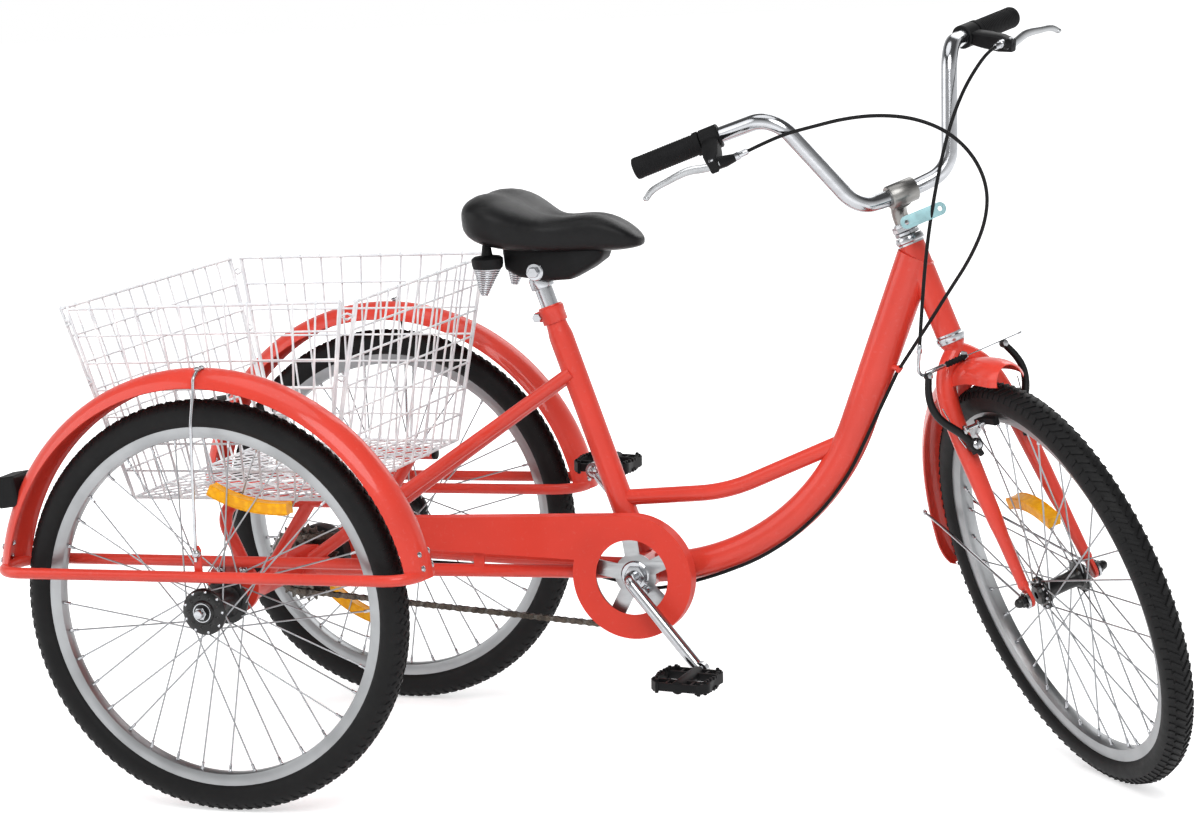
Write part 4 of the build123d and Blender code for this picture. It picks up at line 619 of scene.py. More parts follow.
def wires(name, runs, radius, material, matrix=UNTURNED, sides=6):
    """Mesh data of round wires; runs are lists of points in millimetres."""
    verts, edges = [], []
    for run in runs:
        first = len(verts)
        verts += [TO_ROW @ matrix @ Vector(p) for p in run]
        edges += [(first + i, first + i + 1) for i in range(len(run) - 1)]
    source = bpy.data.meshes.new(name)
    source.from_pydata(verts, edges, [])
    values = {"Wire radius": radius / 1000, "Sides": sides, "Material": material}
    return grown(name, source, WIRE_TREE, values)


def repeated(name, form, places, material, matrix=UNTURNED):
    """Mesh data of a form (a Solid in millimetres round its own origin) copied to each place."""
    data = form.mesh(name + "_form", TO_ROW.inverted())
    smooth(data, 40)
    data.transform(Matrix.Scale(0.001, 4))
    holder = bpy.data.objects.new(name + "_form", data)
    points = bpy.data.meshes.new(name)
    stands = [matrix @ place for place in places]
    points.from_pydata([TO_ROW @ place.translation for place in stands], [], [])
    turn = points.attributes.new("turn", "FLOAT_VECTOR", "POINT")
    for item, place in zip(turn.data, stands):
        item.vector = place.to_euler()
    result = grown(name, points, REPEAT_TREE, {"Form": holder, "Size": 1.0, "Material": material})
    bpy.data.objects.remove(holder)
    return result


def joined(name, *parts):
    """Several mesh data in one, keeping their materials in order."""
    work = bmesh.new()
    result = bpy.data.meshes.new(name)
    for part in parts:
        offset = len(result.materials)
        for material in part.materials:
            result.materials.append(material)
        before = len(work.faces)
        work.from_mesh(part)
        work.faces.ensure_lookup_table()
        for face in work.faces[before:]:
            face.material_index += offset
    work.to_mesh(result)
    work.free()
    return result


WIRE_TREE = wire_tree()
REPEAT_TREE = repeat_tree()


# ---------------- wheels
REAR_TYRE_RADIUS = 294.4
FRONT_TYRE_RADIUS = 293.4
TYRE_RING = 22.0  # radius of a tyre's section
BEAD_RADIUS = 254.0
RIM_EDGE = 259.5
SPOKES = 36
REFLECTOR_DEPTH = 17.0
# Wheel reflectors: middle radius, first angle and sweep
FRONT_REFLECTOR = (136.0, 80.0, 50.0)
RIGHT_REFLECTOR = (168.0, 48.0, 42.0)
LEFT_REFLECTOR = (176.0, 222.0, 42.0)
# Ends, each a radius and an angle, and the sag to the hub of a reflector that isn't round the hub
BOWED_REFLECTORS = {
    RIGHT_REFLECTOR: (((189.5, 48.2), (168.0, 87.5)), 9.0),
    FRONT_REFLECTOR: (((107.0, 76.0), (132.0, 130.0)), -11.0),
}


def tyre_profile(ring_radius, crown_drop):
    """Section of a tyre from one bead up over the crown to the other: (radius, width)."""
    half_bead = math.degrees(math.acos((ring_radius - RIM_EDGE) / TYRE_RING))
    points = arc_outline(TYRE_RING - crown_drop, 180 - half_bead, (half_bead - 180) / 14, 29, ring_radius)
    return points + [(BEAD_RADIUS + 1, -10), (BEAD_RADIUS + 1, 10)]


def tyre_skin(look, name, centre, ring_radius, drop, matrix=UNTURNED):
    """Mesh data of the casing without its tread."""
    skin = Solid().turned(centre, (0, 1, 0), tyre_profile(ring_radius, drop), steps=120).mesh(name, matrix)
    smooth(skin, 40)
    skin.materials.append(look["tyre_rubber"])
    return skin


def on_tyre(centre, ring_radius, reach, wheel_angle, section_angle):
    """Place on a tyre's skin: local X round the wheel, Y across, Z outward."""
    a, s = math.radians(wheel_angle), math.radians(section_angle)
    radial = wheel_point(a)
    across = sideways(1)
    outward = radial * math.cos(s) + across * math.sin(s)
    point = Vector(centre) + radial * ring_radius + outward * reach
    along = across.cross(radial)
    return Matrix.Translation(point) @ standing(along, outward.cross(along), outward)


def tread(look, name, size, edge, places, matrix=UNTURNED):
    """Tread blocks that stand on local z = 0 at their places."""
    block = Solid().block((0, 0, size[2] / 2), size, edge=edge)
    return repeated(name, block, places, look["tyre_rubber"], matrix)


def front_tyre(look):
    """Chevron tread: close slanting bars that meet near the crown, and ridges down both shoulders."""
    ring = FRONT_TYRE_RADIUS - TYRE_RING
    skin = tyre_skin(look, "front_tyre", FRONT_CENTRE, ring, 1.5, STEERED)
    bars, shoulders = [], []
    count = 116
    for i in range(count):
        for side in (-1, 1):
            angle = 360 * i / count + side * 0.78
            turn = Matrix.Rotation(math.radians(side * 40), 4, "Z")
            bars.append(on_tyre(FRONT_CENTRE, ring, 19.7, angle, side * 19) @ turn)
            shoulders.append(on_tyre(FRONT_CENTRE, ring, 19.5, angle - 1.5, side * 52))
    chevrons = tread(look, "front_tread", (4.6, 16.0, 2.2), 0.4, bars, STEERED)
    blocks = tread(look, "front_shoulders", (4.4, 9.5, 2.0), 0.4, shoulders, STEERED)
    data = joined("front_tyre", skin, chevrons, blocks)
    add_piece("front_tyre", data, None, "front_wheel", ["front_tyre"], angle=0)


def rear_tyre(look, name, body_name, centre):
    """Fine street tread: close ribs round the crown with slanting cuts, and a finely ribbed shoulder."""
    ring = REAR_TYRE_RADIUS - TYRE_RING
    skin = tyre_skin(look, name, centre, ring, 1.2)
    crown, ribs = [], []
    count = 120
    for i in range(count):
        angle = 360 * i / count
        for side in (-1, 1):
            turn = Matrix.Rotation(math.radians(side * 38), 4, "Z")
            for lift in (10, 30):
                crown.append(on_tyre(centre, ring, 20.1, angle + side * 0.7 + lift * 0.04, side * lift) @ turn)
            ribs.append(on_tyre(centre, ring, 20.0, angle, side * 48))
    blocks = tread(look, name + "_tread", (7.0, 6.0, 1.7), 0.3, crown)
    sides = tread(look, name + "_ribs", (3.0, 7.5, 1.3), 0.3, ribs)
    data = joined(name, skin, blocks, sides)
    add_piece(name, data, None, body_name, [name], angle=0)


def rim_section():
    """Box rim with rolled edges: (radius, width), round the section."""
    half = [(239.8, 0), (240.0, 6.0), (241.2, 9.4), (246.5, 11.4), (252.0, 12.2), (258.4, 12.4)]
    half += [(259.4, 11.6), (259.2, 10.6), (256.5, 10.4), (253.4, 9.8), (250.0, 8.0), (249.0, 0)]
    return half + [(r, -w) for r, w in half[-2:0:-1]]


def spoke_lines(centre, flange_radius, flange_spacing):
    """Ends of the spokes, each crossed three times, hub first."""
    lead = 3 * 360 / (SPOKES / 2)
    lines = []
    for i in range(SPOKES):
        side = 1 if i % 2 else -1
        turn = 1 if (i // 2) % 2 else -1
        rim = i * 360 / SPOKES
        hub = math.radians(rim + turn * lead)
        start = centre + wheel_point(hub, flange_radius - 4, side * (flange_spacing / 2 + turn * 1.5))
        lines.append((start, centre + wheel_point(math.radians(rim), 241, side * 2.0)))
    return lines


def laced_rim(look, name, body_name, centre, flange_radius, flange_spacing, matrix=UNTURNED):
    """Rim, spokes with nipples and elbows, as one piece."""
    rim = Solid().turned(centre, (0, 1, 0), rim_section(), steps=160).mesh(name, matrix)
    smooth(rim, 30)
    rim.materials.append(look["rim_aluminium"])
    lines = spoke_lines(centre, flange_radius, flange_spacing)
    runs = [[start, start.lerp(end, 0.02), end] for start, end in lines]
    spokes = wires(name + "_spokes", runs, 1.15, look["spoke_steel"], matrix, sides=8)
    nipple = [(1.3, -12), (2.1, -11.4), (2.1, -3), (2.9, -2), (2.9, 1)]
    head = [(0.8, -1.6), (2.3, -1.2), (2.3, 0.9), (1.2, 1.8)]
    rim_ends = [placed(end, end - start) for start, end in lines]
    hub_ends = []
    for start, _ in lines:
        outward = 1 if start.y > centre.y else -1
        hub_ends.append(placed(start + sideways(2.9 * outward), (0, outward, 0)))
    fittings = []
    for kind, profile, places in (("_nipples", nipple, rim_ends), ("_heads", head, hub_ends)):
        form = Solid().button((0, 0, 0), (0, 0, 1), profile, steps=8)
        fittings.append(repeated(name + kind, form, places, look["chrome"], matrix))
    add_piece(name, joined(name, rim, spokes, *fittings), None, body_name, [name], angle=0)


def both_ways(half):
    """A section from one end to its middle, and out again."""
    return half + [(r, -w) for r, w in half[::-1]]


def rear_hub(look, side, body_name):
    """Black hub shell with small domes on its flange, a silver ring and the locknut outside."""
    centre = REAR_AXLE + sideways(side * HALF_TRACK)
    outside = (0, side, 0)
    shell = [(7.9, -42.5), (15.5, -42.5), (16.5, -41.5), (17.5, -39.5), (24, -39.5), (31, -37.8)]
    shell += [(33, -35.6), (33, -31), (31.5, -30), (24, -28.8), (20, -24), (18.6, -12)]
    shell = [(r, side * w) for r, w in both_ways(shell)]
    solid = Solid().turned(centre, (0, 1, 0), shell, steps=64)
    for i in range(9):
        at = centre + wheel_point(math.radians(20 + 40 * i), 22.5, side * 37.6)
        solid.button(at, outside, [(0.5, 0), (2.6, 0.3), (2.6, 2.2), (1.2, 3.4)], steps=12)
    name = body_name.replace("_wheel", "_hub")
    add_piece(name, solid, look["black_enamel"], body_name)
    ends = Solid()
    face = centre + sideways(side * 39.5)
    ring = [(12.4, 0), (13.6, 0), (13.6, 1.2), (12.4, 1.2)]
    ends.turned(face + sideways(side * 2.4), outside, ring, steps=40)
    ends.hexagon(face + sideways(side * 2.5), outside, 17, 8.0)
    ends.button(face + sideways(side * 9.8), outside, [(6.6, -1), (6.6, 5), (5.6, 6.6), (2.0, 7.0)])
    add_piece(name + "_nut", ends, look["chrome"], body_name)


def front_hub(look):
    """Black front hub with a waisted barrel."""
    shell = [(5.2, -39.8), (13, -39.6), (14, -37), (14.5, -33.4), (23.4, -32.4), (24, -31)]
    shell += [(24, -29), (23, -28), (15, -26.6), (12.4, -20), (11.6, -8)]
    solid = Solid().turned(FRONT_CENTRE, (0, 1, 0), both_ways(shell), steps=56)
    add_piece("front_hub", solid, look["black_enamel"], "front_wheel", matrix=STEERED)


def sagging(centre, ends, sag, steps):
    """A shallow arc between two places on a wheel, each a radius and an angle, that sags to the hub."""
    first, last = (centre + wheel_point(math.radians(angle), radius) for radius, angle in ends)
    inward = (centre - (first + last) / 2).normalized()
    shares = [i / steps for i in range(steps + 1)]
    return [first.lerp(last, t) + inward * (sag * 4 * t * (1 - t)) for t in shares]


def wheel_reflector(look, name, body_name, centre, place, matrix=UNTURNED):
    """Curved reflector set between the spokes, with a raised rim round each face."""
    radius, start, sweep = place
    half, edge = REFLECTOR_DEPTH / 2 - 1.0, 1.3
    section = [
        (-9.8 + edge, -half), (-9.8, -half + edge), (-9.8, half - edge), (-9.8 + edge, half),
        (9.8 - edge, half), (9.8, half - edge), (9.8, -half + edge), (9.8 - edge, -half),
    ]
    path = arc_points(centre, radius, start + 0.8, start + sweep - 0.8, 20)
    if place in BOWED_REFLECTORS:
        path = sagging(centre, *BOWED_REFLECTORS[place], 20)
    solid = Solid().sweep(path, section, up=(0, 1, 0))
    for side in (-1, 1):
        face = side * (half + 0.3)
        lip = [(-9.2, face - 0.5), (-9.2, face + 0.5), (-7.6, face + 0.5), (-7.6, face - 0.5)]
        solid.sweep(path, lip, up=(0, 1, 0))
        solid.sweep(path, [(-r, w) for r, w in lip], up=(0, 1, 0))
    add_piece(name, solid, look["amber"], body_name, [name], matrix=matrix)


# ---------------- fenders
FENDER_RADIUS = 338.0
FRONT_FENDER_RADIUS = 330.0
RAIL_RISE = 52.6  # height of the guard rails over the rear axle


def fender_sheet(centre, radius, half_width, start, end, depth=22.0, steps=64, point=(0.0, 0.0)):
    """Rolled-edge fender; point says how far each end draws in."""
    rise = (half_width ** 2 + depth ** 2) / (2 * depth)
    half_angle = math.degrees(math.asin(min(1.0, half_width / rise)))
    outline = arc_outline(rise, -half_angle, half_angle / 8, 17, -rise)
    rolled = 2.6
    left, right = outline[0], outline[-1]
    section = [(left[0] - rolled, left[1] + 1.4), (left[0] - rolled * 0.6, left[1] - 0.6), *outline]
    section += [(right[0] - rolled * 0.6, right[1] + 0.6), (right[0] - rolled, right[1] - 1.4)]
    section += [(r - 1.4, w * 0.96) for r, w in outline[::-1]]
    rows = []
    for i in range(steps + 1):
        t = i / steps
        closeness = min(1.0, min(t, 1 - t) * abs(end - start) / 9.0)
        draw = point[0] if t < 0.5 else point[1]
        width = 1 - draw * (1 - math.sqrt(1 - (1 - closeness) ** 2))
        radial = wheel_point(math.radians(start + (end - start) * t))
        rows.append([centre + radial * (radius + r) + sideways(w * width) for r, w in section])
    return Solid().loft(rows)


def rear_fenders(look):
    """A half-round sheet over each rear wheel, bolted at both ends."""
    start = math.degrees(math.asin(RAIL_RISE / (FENDER_RADIUS - 11.0)))
    bolt = [(1, -3), (4.6, -1.0), (4.2, 1.0), (2.2, 2.4), (0.6, 2.9)]
    for side, name in ((-1, "right"), (1, "left")):
        centre = REAR_AXLE + sideways(side * HALF_TRACK)
        sheet = fender_sheet(centre, FENDER_RADIUS, 33.0, start - 1.0, 181.0 - start)
        piece = add_piece(name + "_rear_fender", sheet, look["coral_paint"], "frame", angle=50)
        if side < 0:
            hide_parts("rear_fenders")
        bolts = Solid()
        for angle in (start + 1.6, start + 5.0, 178.4 - start, 175.0 - start):
            radial = wheel_point(math.radians(angle))
            for out in (-14, 14):
                at = centre + radial * (FENDER_RADIUS - 3.4) + sideways(out)
                bolts.button(at, radial, bolt, steps=14)
        add_piece(name + "_fender_bolts", bolts, look["chrome"], "frame")


def rear_fender_stays(look):
    """Lug on the outer rail, dome nut, and a rod hooked over the top of the fender."""
    outline = [(-6, 0), (6, 0), (6, -37), (3, -43), (-3, -43), (-6, -37)]
    nut = [(6.5, 0), (6.5, 3), (5.6, 5.4), (3.6, 7.4), (1, 8)]
    screw = [(1, -2), (4.4, 0), (4.4, 2), (2.4, 3.4), (0.8, 3.8)]
    top = REAR_TYRE_RADIUS + FENDER_RADIUS + 1.5
    rods = Solid()
    for side, name in ((-1, "right"), (1, "left")):
        foot = (0, side * (HALF_TRACK + 42.0) - 1.5, REAR_TYRE_RADIUS + RAIL_RISE)
        lug = Solid().plate(outline, 3.0, placed(foot, (0, 1, 0)))
        add_piece(name + "_stay_lug", lug, look["coral_paint"], "frame")
        reaches = ((-1, 46, 368), (8, 46, 560), (10, 34.5, 606), (11, 33.5, 622), (12, 24, top - 3), (12, 6, top))
        points = [(x, side * (HALF_TRACK + out), z) for x, out, z in reaches]
        rods.tube(rounded(points, [40, 40, 10, 10], 15), 2.4, sides=12)
        rods.button((0, side * (HALF_TRACK + 42.8), 379), (0, side, 0), nut, steps=20)
        for out in (8, 22):
            rods.button((12, side * (HALF_TRACK + out), top - 0.7), (0, 0, 1), screw, steps=14)
    add_piece("rear_fender_stays", rods, look["chrome"], "frame", ["rear_fender_stays"])


def front_fender(look):
    """Pointed fender with a stay down each side to the axle."""
    sheet = fender_sheet(FRONT_CENTRE, FRONT_FENDER_RADIUS, 30.0, 91.0, 192.0, depth=24.0, point=(0.3, 0.72))
    add_piece("front_fender", sheet, look["coral_paint"], "steering", ["front_fender"], STEERED, 50)
    stays = Solid()
    angle = math.radians(175)
    for side in (-1, 1):
        edge = FRONT_CENTRE + wheel_point(angle, 314, side * 31.5)
        root = FRONT_CENTRE + wheel_point(angle, 13, side * 56.5)
        path = rounded([root, root.lerp(edge, 0.86), edge + sideways(side * 1.2)], [60], 10)
        stays.tube(path, 2.0, sides=12)
        ring = [(10.6, -1.6), (12.6, -1.6), (12.6, 1.6), (10.6, 1.6)]
        stays.turned(FRONT_CENTRE + sideways(side * 56.5), (0, 1, 0), ring, steps=32)
        at = FRONT_CENTRE + wheel_point(angle, 316, side * 31.0)
        stays.button(at, (0, side, 0), [(1, -2), (4.6, 0), (4.6, 2.4), (3, 3.8), (0.8, 4.2)], steps=16)
    add_piece("front_fender_stays", stays, look["chrome"], "steering", ["front_fender_stays"], STEERED)


# ---------------- basket
BASKET_FLOOR_Z = 430.0
FLOOR_PITCH = 31.0
BASKET_LOW = {"rear": -164.0, "front": 145.0, "side": 227.0}


def between(corners, u, v):
    """A point on the panel between four corners, given round it from low left."""
    low = Vector(corners[0]).lerp(Vector(corners[1]), u)
    high = Vector(corners[3]).lerp(Vector(corners[2]), u)
    return low.lerp(high, v)


def panel_runs(corners, columns, rows, gap=1.3):
    """Level wires outside and uprights inside, with the uprights bent over the top wire."""
    normal = (Vector(corners[1]) - Vector(corners[0])).cross(Vector(corners[3]) - Vector(corners[0])).normalized()
    level, upright = [], []
    for row in range(rows):
        v = row / (rows - 1)
        level.append([between(corners, 0, v), between(corners, 1, v)])
    for column in range(columns):
        u = 0.004 + 0.992 * column / (columns - 1)
        run = [between(corners, u, 0) + normal * gap * 2, between(corners, u, 1) + normal * gap * 2]
        top = between(corners, u, 1)
        run.append(top + (run[1] - run[0]).normalized() * 3.2 + normal * 0.6)
        run.append(top - normal * 3.4 + (run[0] - run[1]).normalized() * 1.0)
        upright.append(run)
    return level, upright


def corner_hooks(low, high, other_low, other_high):
    """Short wire loops that tie two neighbouring sides together."""
    hooks = []
    for v in (0.3, 0.62, 0.93):
        a, b = Vector(low).lerp(Vector(high), v), Vector(other_low).lerp(Vector(other_high), v)
        middle = (a + b) / 2
        outward = Vector((middle.x, middle.y, 0)).normalized() * 5
        hooks.append([a, middle + outward + Vector((0, 0, 4)), b, middle + outward * 0.4 - Vector((0, 0, 5)), a])
    return hooks


def diamond_floor(pitch):
    """Two families of slanting wires clipped to the floor's rectangle."""
    x0, x1, half = BASKET_LOW["rear"], BASKET_LOW["front"], BASKET_LOW["side"]
    runs = []
    span = 2 * half
    count = int((x1 - x0 + span) / pitch)
    for i in range(count + 1):
        for sign in (-1, 1):
            offset = x0 + pitch * (i + 0.5)
            # The line x = offset - t, y = sign * (t - half), for t from 0 to the floor's width.
            low, high = max(0.0, offset - x1), min(span, offset - x0)
            if high - low > 4:
                z = BASKET_FLOOR_Z + sign * 0.9
                runs.append([(offset - low, sign * (low - half), z), (offset - high, sign * (high - half), z)])
    return runs


def basket(look):
    """Four wire sides that lean out, hooked together at the corners, and a floor of slanting wires."""
    rear, front, side = BASKET_LOW["rear"], BASKET_LOW["front"], BASKET_LOW["side"]
    z = BASKET_FLOOR_Z
    right = [(rear, -side, z), (front, -side, z), (198, -254, 713), (-222, -271, 709)]
    back = [(rear, side, z), (rear, -side, z), (-236, -264, 709), (-236, 264, 709)]
    head = [(front, -side, z), (front, side, z), (208, 229, 710), (208, -229, 710)]
    left = [(front, side, z), (rear, side, z), (-222, 271, 709), (198, 254, 713)]
    thin, rim = [], []
    for corners, columns in ((right, 13), (left, 13), (back, 14), (head, 14)):
        level, upright = panel_runs(corners, columns, 8)
        thin += level[1:-1] + upright
        rim += [level[0], level[-1], [corners[0], corners[3]], [corners[1], corners[2]]]
    for a, b in ((right, back), (left, head), (head, right), (back, left)):
        thin += corner_hooks(a[0], a[3], b[1], b[2])
    cross = [[(x, -side, z - 3), (x, side, z - 3)] for x in (-110, -9.5, 92)]
    cross += [[(rear, y, z - 3), (front, y, z - 3)] for y in (-120, 0, 120)]
    floor = diamond_floor(FLOOR_PITCH)
    parts = []
    for kind, runs, radius, sides in (("thin", thin, 1.7, 6), ("rim", rim, 2.4, 8), ("floor", floor, 1.35, 5),
                                      ("cross", cross, 2.0, 8)):
        parts.append(wires("basket_" + kind, runs, radius, look["white_coating"], sides=sides))
    add_piece("basket", joined("basket", *parts), None, "frame", ["basket"], angle=0)


# ---------------- transmission
CHAIN_LINE = 45.0  # distance of the chain from the tricycle's middle
CRANK_ANGLE = -49.3
CRANK_LENGTH = 163.0
PEDAL_MIDDLE = 148.0  # distance of a pedal's middle from the tricycle's middle
PEDAL_TILT = 3.0
PITCH = 12.7  # distance from roller to roller of the chain
RING_TEETH = 38
SPROCKET_TEETH = 20


def pitch_radius(teeth):
    """Radius of the circle that a sprocket's rollers lie on."""
    return PITCH / (2 * math.sin(math.pi / teeth))


def belt_lengths():
    """Radii, tilt, lean, straight run and wraps of the chain's loop."""
    front, rear = pitch_radius(RING_TEETH), pitch_radius(SPROCKET_TEETH)
    span = BRACKET - REAR_AXLE
    reach = math.hypot(span.x, span.z)
    lean = math.acos((rear - front) / reach)
    run = math.sqrt(reach ** 2 - (front - rear) ** 2)
    return front, rear, math.atan2(span.z, span.x), lean, run, (front * 2 * lean, rear * 2 * (math.pi - lean))


def belt_place(distance):
    """Place on the chain's loop: local X along it, Y across the tricycle, Z outward."""
    front, rear, tilt, lean, run, wraps = belt_lengths()
    distance %= 2 * run + sum(wraps)
    if distance < run:
        angle, centre, radius, ahead = tilt + lean, REAR_AXLE, rear, distance
    elif distance < run + wraps[0]:
        angle, centre, radius, ahead = tilt + lean - (distance - run) / front, BRACKET, front, 0
    elif distance < 2 * run + wraps[0]:
        angle, centre, radius, ahead = tilt - lean, BRACKET, front, distance - run - wraps[0]
    else:
        angle, centre, radius, ahead = tilt - lean - (distance - 2 * run - wraps[0]) / rear, REAR_AXLE, rear, 0
    outward = wheel_point(angle)
    along = Vector((outward.z, 0, -outward.x))
    point = centre + outward * radius + along * ahead - sideways(CHAIN_LINE)
    return Matrix.Translation(point) @ standing(along, outward.cross(along), outward)


def link_plate(solid, y, thickness, waist):
    """One figure-of-eight side plate of a link, lying across local Y."""
    outline = []
    for sign in (1, -1):
        outline += [(sign * x, sign * z) for x, z in arc_outline(4.1, -90, 30, 7, PITCH / 2)]
        outline.append((0, sign * waist))
    turn = Matrix.Translation((0, y, 0)) @ Matrix.Rotation(math.radians(90), 4, "X")
    rows = [[turn @ Vector((x, z, t)) for x, z in outline] for t in (-thickness, 0)]
    solid.loft(rows)


def chain(look):
    """Outer and inner links in turn along the loop."""
    outer, inner = Solid(), Solid()
    for link, *faces in ((outer, 3.0, -3.9), (inner, 1.9, -2.8)):
        for y in faces:
            link_plate(link, y, 0.9, 3.1)
    for x in (-PITCH / 2, PITCH / 2):
        outer.rod((x, -4.5, 0), (x, 4.5, 0), 1.7, sides=8)
        inner.rod((x, -1.9, 0), (x, 1.9, 0), 3.8, sides=10)
    *_, run, wraps = belt_lengths()
    total = 2 * run + sum(wraps)
    count = round(total / PITCH / 2)
    parts = []
    for kind, link, shift, steel in (("outer", outer, 0, "chain_steel"), ("inner", inner, 0.5, "dark_steel")):
        places = [belt_place(total / count * (i + shift)) for i in range(count)]
        parts.append(repeated(kind + "_links", link, places, look[steel]))
    add_piece("chain", joined("chain", *parts), None, "frame", ["chain"], angle=0)


def gear_outline(teeth, phase=0.0):
    """Sprocket outline with a rounded gap for every roller; a gap's middle lies at phase."""
    shares = ((-0.52, -2.4), (-0.30, -3.7), (0, -4.2), (0.30, -3.7), (0.52, -2.4),
              (0.80, 1.6), (1.0, 2.6), (1.2, 1.6))
    points = []
    for i in range(teeth):
        for share, rise in shares:
            a = phase + math.pi * (2 * i + share) / teeth
            reach = pitch_radius(teeth) + rise
            points.append((reach * math.cos(a), reach * math.sin(a)))
    return points


def sprocket(solid, centre, teeth, y, thickness, holes=(), phase=0.0):
    """A toothed plate in the XZ plane; outline angles go from straight ahead upwards."""
    turn = placed(centre + Vector((0, y + thickness / 2, 0)), (0, -1, 0), (1, 0, 0))
    solid.plate(gear_outline(teeth, phase), thickness, turn, holes, edge=0.25)
    return solid


def spider_window(middle, inner=31.0, outer=60.0, arm_half=11.0, steps=10):
    """A window between two straight-sided arms of the ring; middle is its angle."""
    points = []
    for radius, way in ((outer, 1), (inner, -1)):
        half = way * (36 - math.degrees(math.asin(arm_half / radius)))
        points += arc_outline(radius, middle - half, 2 * half / steps, steps + 1)
    return points


def crank_end(side):
    """The place of a pedal's axle in the crank's middle plane."""
    return BRACKET - wheel_point(math.radians(CRANK_ANGLE), side * CRANK_LENGTH)


def chainring(look):
    """Toothed ring on five broad arms, with the drive pin and the lock ring on the crank."""
    holes = [spider_window(61 + 72 * i) for i in range(5)] + [circle_profile(8.8, 24)]
    solid = sprocket(Solid(), BRACKET, RING_TEETH, -CHAIN_LINE, 2.6, holes)
    add_piece("chainring", solid, look["aluminium"], "crank", ["chainring"])
    details = Solid()
    outside = (0, -1, 0)
    face = BRACKET - sideways(CHAIN_LINE + 1.3)
    details.turned(face, outside, [(8.7, 0), (21, 0), (21, 1.6), (19, 3.2), (8.7, 3.2)])
    details.hexagon(face - sideways(3.0), outside, 26, 4.0)
    pin = face + wheel_point(math.radians(CRANK_ANGLE), 27)
    details.button(pin, outside, [(5, 0), (5, 9), (4, 10.4), (1, 10.8)], steps=20)
    add_piece("chainring_lock", details, look["chrome"], "crank")
    caps = Solid()
    for side in (-1, 1):
        at = crank_end(side) + sideways(side * 85.6)
        caps.button(at, (0, -side, 0), [(8.2, -1), (8.2, 1.6), (6.0, 3.4), (1.2, 3.8)])
    add_piece("crank_pin_ends", caps, look["chrome"], "crank")


def chain_guard(look):
    """The stamped cover with crisp, evenly shaded faces."""
    work = bmesh.new()
    work.from_mesh(frame["nodes"]["chain_guard"].data)
    bmesh.ops.remove_doubles(work, verts=work.verts, dist=1e-6)
    data = bpy.data.meshes.new("chain_guard")
    work.to_mesh(data)
    work.free()
    add_piece("chain_guard", data, look["satin_coral"], "frame", ["chain_guard"], angle=8)


def freewheel(look):
    """Six sprockets on their body."""
    solid = Solid()
    for index, teeth in enumerate((14, 16, 20, 20, 24, 28)):
        y = -CHAIN_LINE + (index - 2) * 5.0
        sprocket(solid, REAR_AXLE, teeth, y, 1.9, [circle_profile(7.6, 24)], phase=0.3 * index)
    body = [(7.6, -12), (17.5, -12), (19.5, -10), (19.5, 18), (7.6, 18)]
    solid.turned(REAR_AXLE - sideways(CHAIN_LINE), (0, 1, 0), body, steps=40)
    add_piece("freewheel", solid, look["dark_steel"], "left_rear_wheel", ["freewheel"])


def brake_band(look):
    """Drum with six rivets on its face."""
    centre = REAR_AXLE + sideways(26)
    half = [(7.6, -14), (40, -14), (44.5, -12), (45, -10)]
    solid = Solid().turned(centre, (0, 1, 0), both_ways(half), steps=64)
    for i in range(6):
        at = centre + wheel_point(math.radians(60 * i), 26, -14)
        solid.button(at, (0, -1, 0), [(1, -1), (4, 0), (4, 2), (1, 2.6)], steps=12)
    add_piece("brake_drum", solid, look["black_steel"], "left_rear_wheel", ["brake_drum"])


def pedal(look, side):
    """Platform pedal: barrel and a waisted cage with rows of teeth."""
    name, body = ("pedal_left", "left_pedal") if side > 0 else ("pedal_right", "right_pedal")
    centre = crank_end(side) + sideways(side * PEDAL_MIDDLE)
    plain = Matrix.Rotation(math.radians(PEDAL_TILT), 4, "Y")
    turn = Matrix.Translation(centre) @ plain
    solid = Solid()

    def at(x, y, z):
        return turn @ Vector((x, y, z))

    solid.rod(at(0, -44, 0), at(0, 44, 0), 9.5, sides=28, rim=2.0)
    rail = [(-7.0, -2.2), (-7.0, 2.2), (7.0, 2.2), (7.0, -2.2)]
    for x in (-1, 1):
        outer = [at(x * reach, y, 0) for reach, y in ((28, -47), (41, -30), (37, 0), (41, 30), (28, 47))]
        solid.sweep(rounded(outer, [12, 40, 12], 6), rail, up=plain.to_3x3() @ Vector((0, 0, 1)))
        for i in range(10):
            reach = 38.5 + 1.8 * math.cos(math.pi * (i - 4.5) / 3.0) - (8 if i in (0, 9) else 0)
            for z in (-7.6, 7.6):
                solid.block(at(x * reach, -40.5 + 9 * i, z), (4.6, 4.8, 5.0), plain, edge=1.2)
    for y in (-43, -22, 22, 43):
        solid.block(at(0, y, 0), (68 if abs(y) < 30 else 54, 4.5, 12), plain, edge=1.4)
    for x, y in ((-18, -32), (-18, 32), (18, -32), (18, 32)):
        solid.block(at(x, y, 0), (4, 20, 10), plain, edge=1.0)
    add_piece(name, solid, look["black_plastic"], body, [name])
    pin = Solid()
    pin.rod(centre - sideways(side * 62), centre - sideways(side * 43), 6.0)
    pin.hexagon(centre - sideways(side * 48.5), (0, -side, 0), 15, 5)
    add_piece(name + "_pin", pin, look["chrome"], body)


# ---------------- saddle
POST_TOP = BRACKET + SEAT_UP * 452.0


